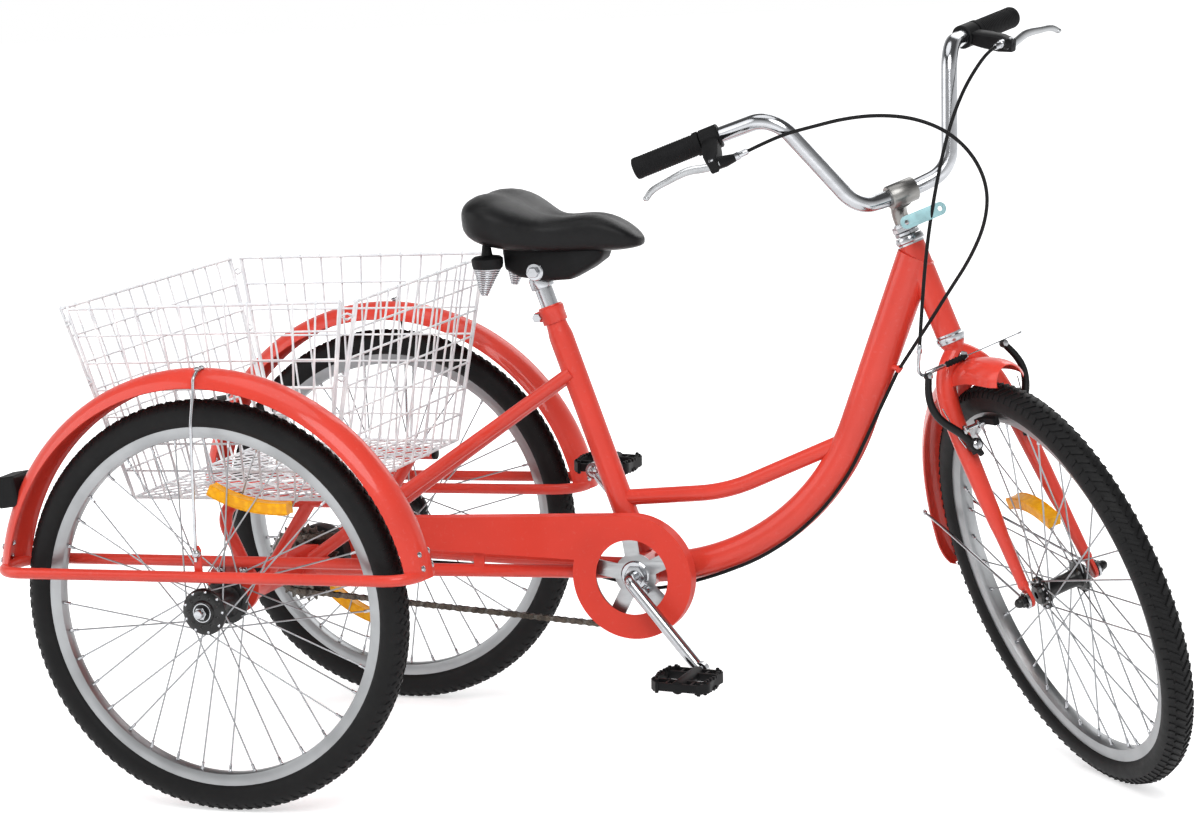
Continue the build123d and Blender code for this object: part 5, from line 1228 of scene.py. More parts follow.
def saddle(look):
    """Padded cover: wide rounded rear, long nose, crowned top and a skirt that tucks under."""
    stations = [
        (300, 36, 792, 812), (303, 60, 782, 820), (310, 82, 772, 828), (324, 98, 763, 833), (345, 105, 757, 832),
        (366, 101, 753, 824), (388, 86, 750, 812), (408, 70, 748, 801), (428, 58, 747, 796), (450, 50, 746, 797),
        (475, 44, 746, 800), (500, 39, 747, 797), (522, 34, 748, 787), (538, 27, 750, 776), (547, 18, 752, 768),
        (552, 8, 755, 763),
    ]
    rows = []
    for x, half, low, high in stations:
        row = []
        crown = min(10.0, half * 0.16)
        middle = low + (high - low) * 0.52
        for c, s in circle_profile(1.0, 40):
            across = half * signed_power(c, 0.72)
            if s >= 0:
                groove = 3.0 * math.exp(-(across / 9.0) ** 2) * min(1.0, half / 90)
                z = middle + (high - middle) * s ** 0.55 + crown * s ** 2 * 0.2 - groove
            else:
                z = middle - (middle - low) * abs(s) ** 0.6
                across *= 1 + 0.10 * s
            row.append(Vector((x, across, z)))
        rows.append(row)
    data = Solid().loft(rows).mesh("saddle")
    smooth(data, 70)
    holder = linked("saddle_work", data)
    holder.modifiers.new("Round", "SUBSURF").levels = 1
    depsgraph = bpy.context.evaluated_depsgraph_get()
    round_data = bpy.data.meshes.new_from_object(holder.evaluated_get(depsgraph))
    bpy.data.objects.remove(holder)
    piece = add_piece("saddle", round_data, look["saddle_vinyl"], "frame", ["saddle"], angle=60)


def saddle_pan(look):
    """Moulded base and side skirts below the padding, with the clamp's nut."""
    stations = [
        (346, 20, 740, 762), (352, 32, 722, 764), (372, 36, 712, 764), (410, 36, 706, 764),
        (446, 34, 708, 764), (474, 30, 722, 762), (492, 24, 734, 758), (497, 16, 742, 754),
    ]
    round_box = [(signed_power(c, 0.45), signed_power(s, 0.45)) for c, s in circle_profile(1.0, 24)]
    rows = []
    for x, half, low, high in stations:
        middle, rise = (low + high) / 2, (high - low) / 2
        rows.append([Vector((x, half * y, middle + rise * z)) for y, z in round_box])
    pan = Solid().loft(rows)
    add_piece("saddle_pan", pan, look["black_plastic"], "frame", ["saddle_pan"], angle=50)
    clamp = Solid()
    at = Vector((399, 0, 722))
    for side in (-1, 1):
        clamp.button(at + sideways(side * 35.5), (0, side, 0), [(13, -2), (13, 1.6), (11.6, 3.0), (4, 3.4)], steps=32)
        clamp.hexagon(at + sideways(side * 38.6), (0, side, 0), 14, 7)
    clamp.rod(POST_TOP - SEAT_UP * 26, POST_TOP - SEAT_UP * 8, 17.0, sides=32, rim=2.0)
    add_piece("saddle_clamp", clamp, look["chrome"], "frame")


def saddle_springs(look):
    """Close conical coils that narrow downwards from black cups under the seat's rear."""
    coils, caps = [], Solid()
    cap = [(17, 0), (21, 1.5), (22.5, 8), (22.5, 15), (19, 18), (8, 20), (6, 34)]
    turns, steps = 12, 18
    for side in (-1, 1):
        top, foot = Vector((337, side * 58, 733)), Vector((329, side * 57, 693))
        run = []
        for i in range(turns * steps + 1):
            t = i / (turns * steps)
            radius = 19.0 - 15.0 * t
            a = 2 * math.pi * turns * t
            run.append(top.lerp(foot, t) + Vector((radius * math.cos(a), radius * math.sin(a), 0)))
        coils.append(run)
        caps.button(top - Vector((0, 0, 3)), (0, 0, 1), cap, steps=36)
    data = wires("saddle_springs", coils, 1.9, look["chrome"], sides=8)
    add_piece("saddle_springs", data, None, "frame", ["saddle_springs"], angle=0)
    add_piece("saddle_spring_caps", caps, look["black_plastic"], "frame")


# ---------------- front end
# The handlebar: its clamp, the corners of one half from there, and the bow of its middle
BAR_CLAMP = head_point(571.5, 28.5)
BAR_LINE = ((17.0, 72.0, 12.0), (-30.0, 138.0, 163.0), (-100.0, 195.0, 142.0), (-153.0, 299.0, 124.5))
BAR_BOW = Vector((5.4, 0, 3.8))
LEVER_ROOT = (-42.0, 234.0, 125.0)
# A fork blade: height up the steerer, distance ahead and outward, and radius
BLADE_ROUTE = (
    (344, 0, 3, 14.0), (335, 0, 14, 14.5), (322, 0, 25, 14.8), (304, 0.5, 34.5, 14.6), (280, 2.0, 41.0, 14.2),
    (235, 6.0, 44.0, 13.8), (150, 14.0, 46.8, 12.0), (70, 22.5, 49.5, 9.6), (20, 27.8, 51.0, 8.0),
)
# A brake lever's blade, from the handlebar's clamp, and its width along the way
LEVER_LINE = ((-39, 226, 126), (-43, 237, 124), (-48, 249, 125), (-54, 265, 127.5), (-59, 281, 125), (-64, 295, 121),
              (-68, 307, 118.5), (-71.5, 318, 114.5), (-73.5, 326, 107))
LEVER_WIDTHS = (0.9, 1.1, 1.2, 1.2, 1.05, 0.95, 0.9, 0.95, 0.85)
# The brake: height up the steerer, distance ahead and outward; ARM_ROUTE has height and outward only
BRAKE_PIVOT = (221.0, 32.0, 40.0)
BRAKE_TOP = (331.0, 32.0, 60.0)
ARM_ROUTE = ((210, 41), (221, 41), (237, 46), (253, 57), (269, 68), (290, 73.5), (310, 70), (331, 60))
ARM_SHIFT = -4.0  # both arms lean to the tricycle's right
BRAKE_TRACK = 247.5  # radius of the rim's braking face
WIRE_UP = 336.0


def bar_point(point, side):
    """A point of the handlebar's right or left half."""
    x, y, z = point
    return BAR_CLAMP + Vector((x, side * y, z))


def blade_path():
    """Middle line and radii of a fork blade, with the line's corners eased."""
    path, sizes = [], []
    for first, second in zip(BLADE_ROUTE, BLADE_ROUTE[1:]):
        for k in range(4):
            *place, radius = (a + (b - a) * k / 4 for a, b in zip(first, second))
            path.append(tuple(place))
            sizes.append(radius)
    *place, radius = BLADE_ROUTE[-1]
    path.append(tuple(place))
    sizes.append(radius)
    for _ in range(5):
        inner = zip(path, path[1:], path[2:])
        path = [path[0], *(tuple((a + 2 * b + c) / 4 for a, b, c in zip(*three)) for three in inner), path[-1]]
    return path, [(r, r * (1.0 if i < len(sizes) - 6 else 0.9)) for i, r in enumerate(sizes)]


def fork(look):
    """Two blades that curve out of the steerer's foot and taper to flattened ends."""
    solid = Solid()
    solid.rod(head_point(330), head_point(512), 12.7, sides=40)
    crown = [(12.0, -8), (14.4, -2), (14.2, 10), (15.0, 15), (17.2, 19), (17.2, 21), (15, 21.6)]
    solid.button(head_point(338), AXIS_UP, crown, steps=44)
    path, sizes = blade_path()
    ear = [*arc_outline(12, 90, 180 / 16, 17), (26, -7.5), (26, 7.5)]
    pivot_up, pivot_ahead, pivot_out = BRAKE_PIVOT
    for side in (-1, 1):
        points = [head_point(up, ahead, side * out) for up, ahead, out in path]
        solid.sweep(points, circle_profile(1.0, 28), up=AXIS_FORWARD, scales=sizes)
        solid.ball(points[-1], 8.0, detail=20)
        end = FRONT_CENTRE + sideways(side * 51 - 2.6)
        solid.plate(ear, 5.2, placed(end, (0, 1, 0), AXIS_UP), edge=0.8)
        boss = head_point(pivot_up, 8, side * pivot_out)
        solid.rod(boss, head_point(pivot_up, pivot_ahead - 7, side * pivot_out), 7.0, sides=28, rim=1.2)
    add_piece("fork", solid, look["coral_paint"], "steering", ["fork"], STEERED, 50)
    bolt = Solid()
    for forward in (-1, 1):
        bolt.hexagon(head_point(337, forward * 15.5), AXIS_FORWARD * forward, 12, 5)
    bolt.rod(head_point(337, -18), head_point(337, 23), 2.8, sides=14)
    add_piece("crown_bolt", bolt, look["chrome"], "steering", matrix=STEERED)
    nuts = Solid()
    dome = [(7.0, 0), (7.0, 2), (6.4, 5), (4.8, 7.6), (2.6, 9.2), (0.6, 9.7)]
    for side in (-1, 1):
        at = FRONT_CENTRE + sideways(side * 53.2)
        nuts.button(at, (0, side, 0), [(11, 0), (11, 2.0), (9.0, 2.6)], steps=32)
        nuts.hexagon(at + sideways(side * 4.6), (0, side, 0), 15, 7)
        nuts.button(at + sideways(side * 11), (0, side, 0), dome, steps=24)
    add_piece("front_axle", nuts, look["black_enamel"], "steering", ["front_axle"], STEERED)


def headset(look):
    """Stepped cups, and the upper race under its hexagon locknut."""
    cups = Solid()
    cup = [(13.1, -1), (18.6, -1), (18.6, 1.6), (20.4, 3.2), (20.6, 7), (19.6, 9.0), (19.2, 11.6), (13.1, 11.6)]
    for up, direction in ((371, -1), (505, 1)):
        cups.turned(head_point(up), AXIS_UP * direction, cup, steps=56)
    add_piece("headset_cups", cups, look["chrome"], "frame", ["headset_cups"])
    nut = Solid()
    base = head_point(517.5)
    nut.hexagon(base + AXIS_UP * 5.5, AXIS_UP, 31, 7.0)
    nut.button(base, AXIS_UP, [(15, 0), (17.4, 1), (17.4, 4.4), (16, 5.6)], steps=48)
    nut.button(base + AXIS_UP * 12.3, AXIS_UP, [(15.5, 0), (15.0, 2), (13.5, 5), (11.6, 5.6)], steps=48)
    add_piece("locknut", nut, look["chrome"], "steering", ["locknut"], STEERED)


def stem(look):
    """Forged quill: a round shaft, a neck that leans into the clamp, and the expander and pinch bolts."""
    solid = Solid()
    neck = rounded([head_point(500), head_point(562), BAR_CLAMP - AXIS_UP * 6], [26], 5)
    count = len(neck)
    scales = [(1.0, 1.0) if i < count - 6 else (1.0 + 0.1 * (i - count + 7), 1.05) for i in range(count)]
    solid.sweep(neck, circle_profile(11.0, 32), up=(0, 1, 0), scales=scales)
    band = [(11.0, -20), (15.6, -20), (16.6, -18.8), (16.6, 18.8), (15.6, 20), (11.0, 20)]
    grip_centre = BAR_CLAMP + BAR_BOW
    solid.turned(grip_centre, (0, 1, 0), band, steps=48)
    lug = grip_centre + Vector((-13.5, 0, -10))
    for side in (-1, 1):
        solid.block(lug + sideways(side * 7.5), (14, 9, 15), edge=2.4)
    solid.hexagon(lug + sideways(-12), (0, -1, 0), 11, 6)
    solid.button(lug + sideways(12), (0, 1, 0), [(5.6, 0), (5.6, 3), (4, 4.4), (1, 4.6)], steps=20)
    solid.button(head_point(571), AXIS_UP, [(10.8, -6), (11.4, 0), (10.0, 5), (6, 6.4)], steps=36)
    solid.hexagon(head_point(576), AXIS_UP, 9, 5)
    add_piece("stem", solid, look["stem_alloy"], "steering", ["stem"], STEERED, 45)


def grips(look):
    """Ribbed grips with a flange at the inner end and a rounded cap."""
    solid = Solid()
    for side in (-1, 1):
        end, inward = bar_end(side)
        profile = [(5, -4.5), (11, -4.2), (14.5, -2.6), (15.3, 0), (15.3, 5)]
        for i in range(22):
            at = 7 + 3.5 * i
            profile += [(14.7, at), (15.2, at + 0.6), (15.2, at + 2.3), (14.7, at + 2.9)]
        profile += [(14.8, 85.5), (16.6, 87), (16.6, 94), (11.4, 95)]
        solid.button(end, inward, profile, steps=32)
    add_piece("grips", solid, look["grip_rubber"], "steering", ["grips"], STEERED, 50)


def bar_end(side):
    """The handlebar's end on one side and the direction from it along the grip."""
    end = bar_point(BAR_LINE[-1], side)
    return end, (bar_point(BAR_LINE[-2], side) - end).normalized()


def brake_levers(look):
    """Black clamps with wedge brackets, bright curled blades and silver cable adjusters."""
    clamps, blades, bolts = Solid(), Solid(), Solid()
    clamp = [(11.5, 0), (15.4, 0), (16.6, 1.5), (16.6, 25.5), (15.4, 27), (11.5, 27)]
    body = [(-11, -6), (-9, -8), (9, -8), (11, -6), (11, 6), (9, 8), (-9, 8), (-11, 6)]
    adjuster = [(4.2, -4), (5.6, 0), (5.6, 7), (4.4, 8.4), (4.4, 19), (3.0, 21)]
    screw = [(1, -1), (4.6, 0), (4.6, 1.6), (3, 2.8), (1, 3)]
    widths = softened([Vector((width, 1.0)) for width in LEVER_WIDTHS])
    for side, cable, straight in ((-1, REAR_CABLE_LOOP, STEERED.inverted()), (1, FRONT_CABLE, UNTURNED)):
        barrel, following = (straight @ Vector(point) for point in cable[:2])
        toward = (following - barrel).normalized()
        end, inward = bar_end(side)
        start = end + inward * 95.5
        clamps.turned(start, inward, clamp, steps=40)
        root = bar_point(LEVER_ROOT, side)
        middle = start + inward * 13.5
        arm = root - middle
        out = arm.normalized()
        cross = inward.cross(out).normalized()
        path = [middle + out * 6, middle + arm * 0.45, middle + arm * 0.8, root + out * 5]
        clamps.sweep(path, body, up=cross, scales=[(0.8, 1.3), (0.95, 1.45), (1.0, 1.3), (0.8, 0.7)])
        snout = barrel - toward * 16
        neck = [root - out * 3, root.lerp(snout, 0.6), snout]
        clamps.sweep(neck, circle_profile(1.0, 20), up=cross, scales=[(9, 9), (8, 7.4), (5.6, 5.6)])
        bolts.button(snout, toward, adjuster, steps=20)
        for way in (1, -1):
            bolts.button(root + cross * (7 * way), cross * way, screw, steps=20)
        points = softened([bar_point(point, side) for point in LEVER_LINE])
        blades.sweep(points, circle_profile(5.0, 18, 0.68), up=(0, 0, 1), scales=widths)
        blades.ball(points[-1], 4.8, stretch=(1, 1, 0.8), detail=16)
    add_piece("brake_levers", blades, look["aluminium"], "steering", ["brake_levers"], STEERED, 60)
    add_piece("lever_clamps", clamps, look["black_plastic"], "steering", matrix=STEERED)
    add_piece("lever_bolts", bolts, look["chrome"], "steering", matrix=STEERED)


def brake_arms(look):
    """Linear-pull arms, their springs, pads and silver bolts."""
    arms, pads, bolts, springs = Solid(), Solid(), Solid(), []
    pivot_up, ahead, pivot_out = BRAKE_PIVOT
    top_up, _, top_out = BRAKE_TOP
    pad = [(3.8, -4.8), (4.6, -4.0), (4.6, 4.0), (3.8, 4.8), (-3.0, 4.8), (-4.0, 4.0), (-4.0, -4.0), (-3.0, -4.8)]
    pivot_bolt = [(1, -1), (6.4, 0), (6.4, 2.6), (5.0, 3.8), (1.0, 4.2)]
    pad_centre = FRONT_CENTRE + wheel_point(math.radians(105.5), BRAKE_TRACK)
    for side in (-1, 1):
        pivot = head_point(pivot_up, ahead, side * pivot_out)
        top = head_point(top_up, ahead, side * top_out + ARM_SHIFT)
        path = []
        for i, (up, out) in enumerate(ARM_ROUTE):
            path.append(head_point(up, ahead, side * out + ARM_SHIFT * min(1, i / 4)))
        path = softened(path)
        widths = [(1.5 - 0.6 * i / len(path), 1.25 - 0.35 * i / len(path)) for i in range(len(path))]
        arms.sweep(path, circle_profile(5.6, 16, 5.0 / 5.6), up=AXIS_FORWARD, scales=widths)
        arms.rod(pivot - AXIS_FORWARD * 8, pivot + AXIS_FORWARD * 8, 9.5, sides=28, rim=1.2)
        arms.rod(top - AXIS_FORWARD * 5, top + AXIS_FORWARD * 5, 5.4, sides=20, rim=1.0)
        arms.rod(pivot, pivot - AXIS_UP * 17 - sideways(side * 5), 5.5, 4.0, sides=16, rim=1.5)
        pads.sweep(arc_points(FRONT_CENTRE, BRAKE_TRACK, 98.5, 112.5, 8, side * 19.0), pad)
        bolts.rod(pad_centre + sideways(side * 22), pad_centre + sideways(side * 48), 3.2, sides=16)
        for y, r, h in ((30, 6.0, 3.0), (49, 6.4, 5.0)):
            washer = [(r - 1, 0), (r, 1), (r, h - 1), (r - 1.6, h)]
            bolts.button(pad_centre + sideways(side * y), (0, side, 0), washer, steps=20)
        bolts.button(pivot + AXIS_FORWARD * 8, AXIS_FORWARD, pivot_bolt, steps=24)
        bolts.button(top + AXIS_FORWARD * 4.6, AXIS_FORWARD, [(1, -1), (4.4, 0), (4.4, 3), (1, 3.6)], steps=6)
        foot = head_point(pivot_up, ahead - 9, side * pivot_out)
        tip = head_point(pivot_up + 62, ahead - 8, side * (pivot_out + 20))
        springs.append([foot + sideways(side * 9), foot + AXIS_UP * 14 + sideways(side * 13), tip])
    wire = wires("brake_springs", springs, 0.9, look["chrome"], STEERED)
    add_piece("brake_arms", arms, look["black_steel"], "steering", ["brake_arms"], STEERED)
    add_piece("brake_pads", pads, look["grip_rubber"], "steering", matrix=STEERED)
    add_piece("brake_bolts", bolts, look["chrome"], "steering", matrix=STEERED)
    add_piece("brake_springs", wire, None, "steering", angle=0)


# Routes of the brake cables: the front one with the wheel straight ahead, the rear one at rest
FRONT_CABLE = (
    (910.3, 208.5, 955.6), (923.1, 187.5, 958.3), (953.3, 138.1, 943.9), (977.4, 101.7, 927.3), (992.4, 71.8, 902.3),
    (999.1, 46.8, 868.5), (1000.4, 21.2, 820.9), (1008.8, -7.5, 769.5), (1027.4, -42.5, 706.6), (1036.0, -70.0, 640.0),
)
REAR_CABLE_LOOP = (
    (758.1, -146.6, 893.8), (803.0, -139.0, 914.0), (851.0, -150.0, 925.0), (905.0, -164.0, 937.0),
    (958.0, -174.0, 941.0), (1005.0, -170.0, 934.0), (1046.0, -163.0, 914.0), (1076.0, -156.0, 880.0),
    (1087.0, -139.0, 836.0), (1073.0, -109.0, 787.0), (1041.0, -76.0, 736.0), (1004.0, -52.0, 690.0),
    (968.0, -40.0, 641.0), (920.6, -12.3, 581.1),
)


def cable_data(name, points, radius, matrix=UNTURNED):
    """Round housing along one smooth line through its route's points."""
    curve = bpy.data.curves.new(name, "CURVE")
    curve.dimensions = "3D"
    spline = curve.splines.new("NURBS")
    spline.points.add(len(points) - 1)
    for target, point in zip(spline.points, points):
        target.co = (*(TO_ROW @ matrix @ Vector(point)), 1)
    spline.order_u = 3
    spline.use_endpoint_u = True
    spline.resolution_u = 8
    curve.bevel_depth = radius / 1000
    curve.bevel_resolution = 3
    curve.use_fill_caps = True
    holder = bpy.data.objects.new(name, curve)
    data = bpy.data.meshes.new_from_object(holder)
    bpy.data.objects.remove(holder)
    return data


def cables(look):
    """Brake cables: each is held at both ends, and the loop bends as the front end turns."""
    black = look["black_plastic"]
    data = cable_data("front_cable", FRONT_CABLE, 2.5, STEERED)
    add_piece("front_cable", data, black, "steering", ["front_cable"], angle=60)
    data = cable_data("rear_cable_loop", REAR_CABLE_LOOP, 2.5)
    loop = add_piece("rear_cable_loop", data, black, None, ["rear_cable_loop"], angle=60)
    start, end = (TO_ROW @ Vector(REAR_CABLE_LOOP[i]) for i in (2, -2))
    end = start + AXIS_UP * (end - start).dot(AXIS_UP)
    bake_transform(loop)


def noodle(look):
    """Bent guide pipe, the bare wire across and its rubber boot."""
    pipe = Solid()
    bend = head_point(WIRE_UP, BRAKE_TOP[1], ARM_SHIFT - 64)
    start = Vector(FRONT_CABLE[-1])
    upward = (Vector(FRONT_CABLE[-2]) - start).normalized()
    route = [start + upward * 6, start - upward * 26, bend - AXIS_UP * 2 - sideways(6), bend + sideways(34)]
    pipe.tube(rounded(route, [12, 14], 6), 2.4, sides=16)
    pipe.button(start - upward * 4, upward, [(3.2, 0), (3.8, 1), (3.8, 10), (3.0, 12)], steps=20)
    pipe.rod(bend, head_point(WIRE_UP, BRAKE_TOP[1], 84), 0.9, sides=10)
    stop = [(0.6, -1), (1.5, 0), (1.5, 4), (0.6, 5)]
    pipe.button(head_point(WIRE_UP, BRAKE_TOP[1], 82), (0, 1, 0), stop, steps=10)
    pipe.rod(bend + sideways(2), bend + sideways(30), 3.2, sides=16, rim=0.8)
    add_piece("brake_noodle", pipe, look["chrome"], "steering", ["brake_noodle"], STEERED)
    boot = Solid()
    profile = [(2.6, 0)] + [(4.6 if i % 2 else 3.6, 1 + 2.4 * i) for i in range(13)] + [(2.0, 34)]
    boot.button(bend + sideways(33), (0, 1, 0), profile, steps=20)
    add_piece("noodle_boot", boot, look["grip_rubber"], "steering", matrix=STEERED)


def front_reflector(look):
    """Slotted strap from the headset that leans up to the front and carries a pale reflector plate."""
    strap = Solid()
    base = head_point(531)
    strap.turned(base, AXIS_UP, [(13.0, -1.5), (18.2, -1.5), (18.2, 1.5), (13.0, 1.5)], steps=40)
    outline = [(14, -9), (70, -9), *arc_outline(9, -80, 20, 9, 70), (70, 9), (14, 9)]
    slot = arc_outline(3.2, 90, 20, 10, 26) + arc_outline(3.2, -90, 20, 10, 38)
    hole = arc_outline(3.4, 0, 18, 20, 66)
    flat = Matrix.Translation(base) @ standing(AXIS_FORWARD, sideways(1), AXIS_UP)
    strap.plate(outline, 2.4, flat, [slot, hole], edge=0.5)
    add_piece("reflector_bracket", strap, look["chrome"], "steering", ["reflector_bracket"], STEERED)
    ends = arc_outline(9, -90, 15, 13, 26) + arc_outline(9, 90, 15, 13, -26)
    eyes = [arc_outline(3.4, 0, 18, 20, x) for x in (26, -26)]
    upright = Matrix.Translation(head_point(534.5, 76, -1)) @ standing(sideways(1), AXIS_UP, AXIS_FORWARD)
    plate = Solid().plate(ends, 3.0, upright, eyes, edge=0.6)
    add_piece("front_reflector", plate, look["pale_film"], "steering", matrix=STEERED)


# ---------------- frame fittings
def frame_fittings(look):
    """Weld beads, bolts and plugs on the painted frame."""
    welds, bolts, plugs = Solid(), Solid(), Solid()
    washer = [(6.6, -1), (6.6, 1.0), (5.0, 1.4)]
    head = [(4.6, 0), (4.6, 3.2), (3.4, 4.6), (1.0, 5.2)]
    outer_bead = [(16.4, -2.4), (17.8, -2), (19.4, 0), (20.4, 1.6), (16.4, 1.8)]
    inner_bead = [(16.4, -1.8), (19.6, -1.6), (18.8, 0.4), (17.6, 2), (16.4, 2.2)]
    for side in (-1, 1):
        for x in (-17, 19):
            at = Vector((x, side * 259.5, 334))
            bolts.button(at, (0, side, 0), washer, steps=24)
            bolts.button(at + sideways(side * 1.2), (0, side, 0), head, steps=24)
        for y, bead in ((251, outer_bead), (69.4, inner_bead)):
            welds.turned(REAR_AXLE + sideways(side * y), (0, 1, 0), bead, steps=48)
        plugs.rod((125.0, side * 180, 418.2), (131.5, side * 180, 418.2), 9.4, sides=28, rim=1.6)
    add_piece("frame_welds", welds, look["coral_paint"], "frame")
    add_piece("plate_bolts", bolts, look["chrome"], "frame")
    add_piece("tube_plugs", plugs, look["black_plastic"], "frame")


def seat_tube(look):
    """Seat tube drawn in to a narrow neck, with the painted clamp band and its bolt."""
    wall = [(13.2, 397), (15.0, 397), (15.0, 372), (15.5, 366), (17.2, 356), (17.5, 350), (17.5, 24)]
    wall += [(15.8, 24), (13.2, 340)]
    tube = Solid().turned(BRACKET, SEAT_UP, wall, steps=56)
    add_piece("seat_tube", tube, look["coral_paint"], "frame", ["seat_tube"], angle=30)
    top = BRACKET + SEAT_UP * 397.5
    ring = [(15.1, -23.0), (17.4, -23.0), (18.0, -22.0), (18.0, -9.0), (18.6, -8.2), (18.6, -0.8), (17.6, 0)]
    ring += [(17.0, 2.4), (13.1, 2.4), (13.1, -1)]
    band = Solid().turned(top, SEAT_UP, ring, steps=48)
    lug = top - SEAT_UP * 15 - Vector((21.0, 0, 0))
    for side in (-1, 1):
        band.block(lug + sideways(side * 4.6), (12, 5.0, 14), edge=1.8)
    add_piece("seat_collar", band, look["coral_paint"], "frame", ["seat_collar"])
    at = lug - Vector((1, 0, 0))
    bolt = Solid().rod(at - sideways(11), at + sideways(11), 3.0, sides=16)
    bolt.hexagon(at - sideways(7.2), (0, -1, 0), 12, 6)
    bolt.button(at + sideways(7.2), (0, 1, 0), [(6, 0), (6, 3), (4, 5), (1, 5.4)], steps=20)
    add_piece("seat_bolt", bolt, look["chrome"], "frame")


# ---------------- stage
def seen_plainly(s):
    """1 on the camera's view, straight or by mirror or glass, and 0 where light only falls on things."""
    path = s.node("ShaderNodeLightPath").socket.node
    rays = [Value(s, path.outputs["Is " + kind + " Ray"]) for kind in ("Camera", "Glossy", "Transmission")]
    return rays[0].math("MAXIMUM", rays[1]).math("MAXIMUM", rays[2])


def build_stage(look):
    """Pale floor, soft lamps, white surroundings and the camera."""
    s = Shade("pale_floor")
    speck = s.noise(3.0, 2.0)
    plain = s.node("ShaderNodeBsdfDiffuse", {"Color": s.mix(speck, (0.80, 0.80, 0.80), (0.83, 0.83, 0.83))})
    away = s.node("ShaderNodeVectorMath", {0: s.place((1, 1, 0))}, out="Value", operation="LENGTH")
    glow = away.step(1.0, 2.6) * (1 - look.floor_glow) + look.floor_glow
    white = s.node("ShaderNodeEmission", {"Color": (1, 1, 1), "Strength": glow})
    both = s.node("ShaderNodeAddShader", {0: plain, 1: white})
    chosen = s.node("ShaderNodeMixShader", {0: seen_plainly(s), 1: plain, 2: both})
    s.node("ShaderNodeOutputMaterial", {"Surface": chosen})
    floor_data = bpy.data.meshes.new("floor")
    half = look.floor_size / 2
    corners = [(-half, -half, 0), (half, -half, 0), (half, half, 0), (-half, half, 0)]
    floor_data.from_pydata(corners, [], [(0, 1, 2, 3)])
    floor_data.materials.append(s.material)
    floor = linked("floor", floor_data)
    build_world(look)
    build_lamps(look)
    build_camera()


def build_world(look):
    """Soft light all round; what is seen is white, darker overhead so that metal shows a ceiling."""
    world = bpy.data.worlds.new("studio")
    bpy.context.scene.world = world
    s = Shade(world)
    soft = s.node("ShaderNodeBackground", {"Color": (0.97, 0.98, 1.0), "Strength": look.world_strength})
    height = s.node("ShaderNodeSeparateXYZ", {0: s.node("ShaderNodeTexCoord", out="Generated")}, out="Z")
    limits = {"From Min": 0.1, "From Max": 0.6, "To Min": 1.0, "To Max": look.ceiling}
    ceiling = s.node("ShaderNodeMapRange", {"Value": height, **limits})
    white = s.node("ShaderNodeBackground", {"Color": (1, 1, 1), "Strength": ceiling})
    chosen = s.node("ShaderNodeMixShader", {0: seen_plainly(s), 1: soft, 2: white})
    s.node("ShaderNodeOutputWorld", {"Surface": chosen})


def build_lamps(look):
    """Four round lamps that look at the tricycle's middle."""
    for name, power, size, place in (
        ("key", look.key_power, 3.0, (1.6, -3.0, 3.6)),
        ("fill", look.fill_power, 3.5, (-3.6, -2.0, 2.4)),
        ("rim", look.rim_power, 3.0, (0.5, 3.6, 3.0)),
        ("top", look.top_power, 3.0, (-0.4, -0.3, 4.2)),
    ):
        lamp = bpy.data.lights.new(name, "AREA")
        lamp.energy = power
        lamp.shape = "DISK"
        lamp.size = size
        aim = (Vector((0, 0, 0.45)) - Vector(place)).to_track_quat("-Z", "Y")
        linked(name, lamp).matrix_world = Matrix.Translation(place) @ aim.to_matrix().to_4x4()


CAMERA_PLACE = Vector((1.6811462, -4.38321, 1.30453))
CAMERA_YAW = 21.3686
CAMERA_PITCH = 9.4718
CAMERA_ROLL = -3.5483
CAMERA_LENS = 100.613


def build_camera():
    """The camera, from its place, turns and lens."""
    yaw, pitch, roll = (math.radians(a) for a in (CAMERA_YAW, CAMERA_PITCH, CAMERA_ROLL))
    ahead = Vector((-math.sin(yaw) * math.cos(pitch), math.cos(yaw) * math.cos(pitch), -math.sin(pitch)))
    level = Vector((math.cos(yaw), math.sin(yaw), 0))
    upright = level.cross(ahead)
    right = level * math.cos(roll) + upright * math.sin(roll)
    up = upright * math.cos(roll) - level * math.sin(roll)
    camera = bpy.data.cameras.new("camera")
    camera.lens = CAMERA_LENS
    camera.sensor_width = 36.0
    holder = linked("camera", camera)
    holder.matrix_world = Matrix.Translation(CAMERA_PLACE) @ standing(right, up, -ahead)
    bpy.context.scene.camera = holder


# ---------------- add-on
def colour(name, value):
    """A colour setting for the panel."""
    return FloatVectorProperty(
        name=name, description=name + " in linear light", default=value, subtype="COLOR", size=3, min=0, max=1,
    )


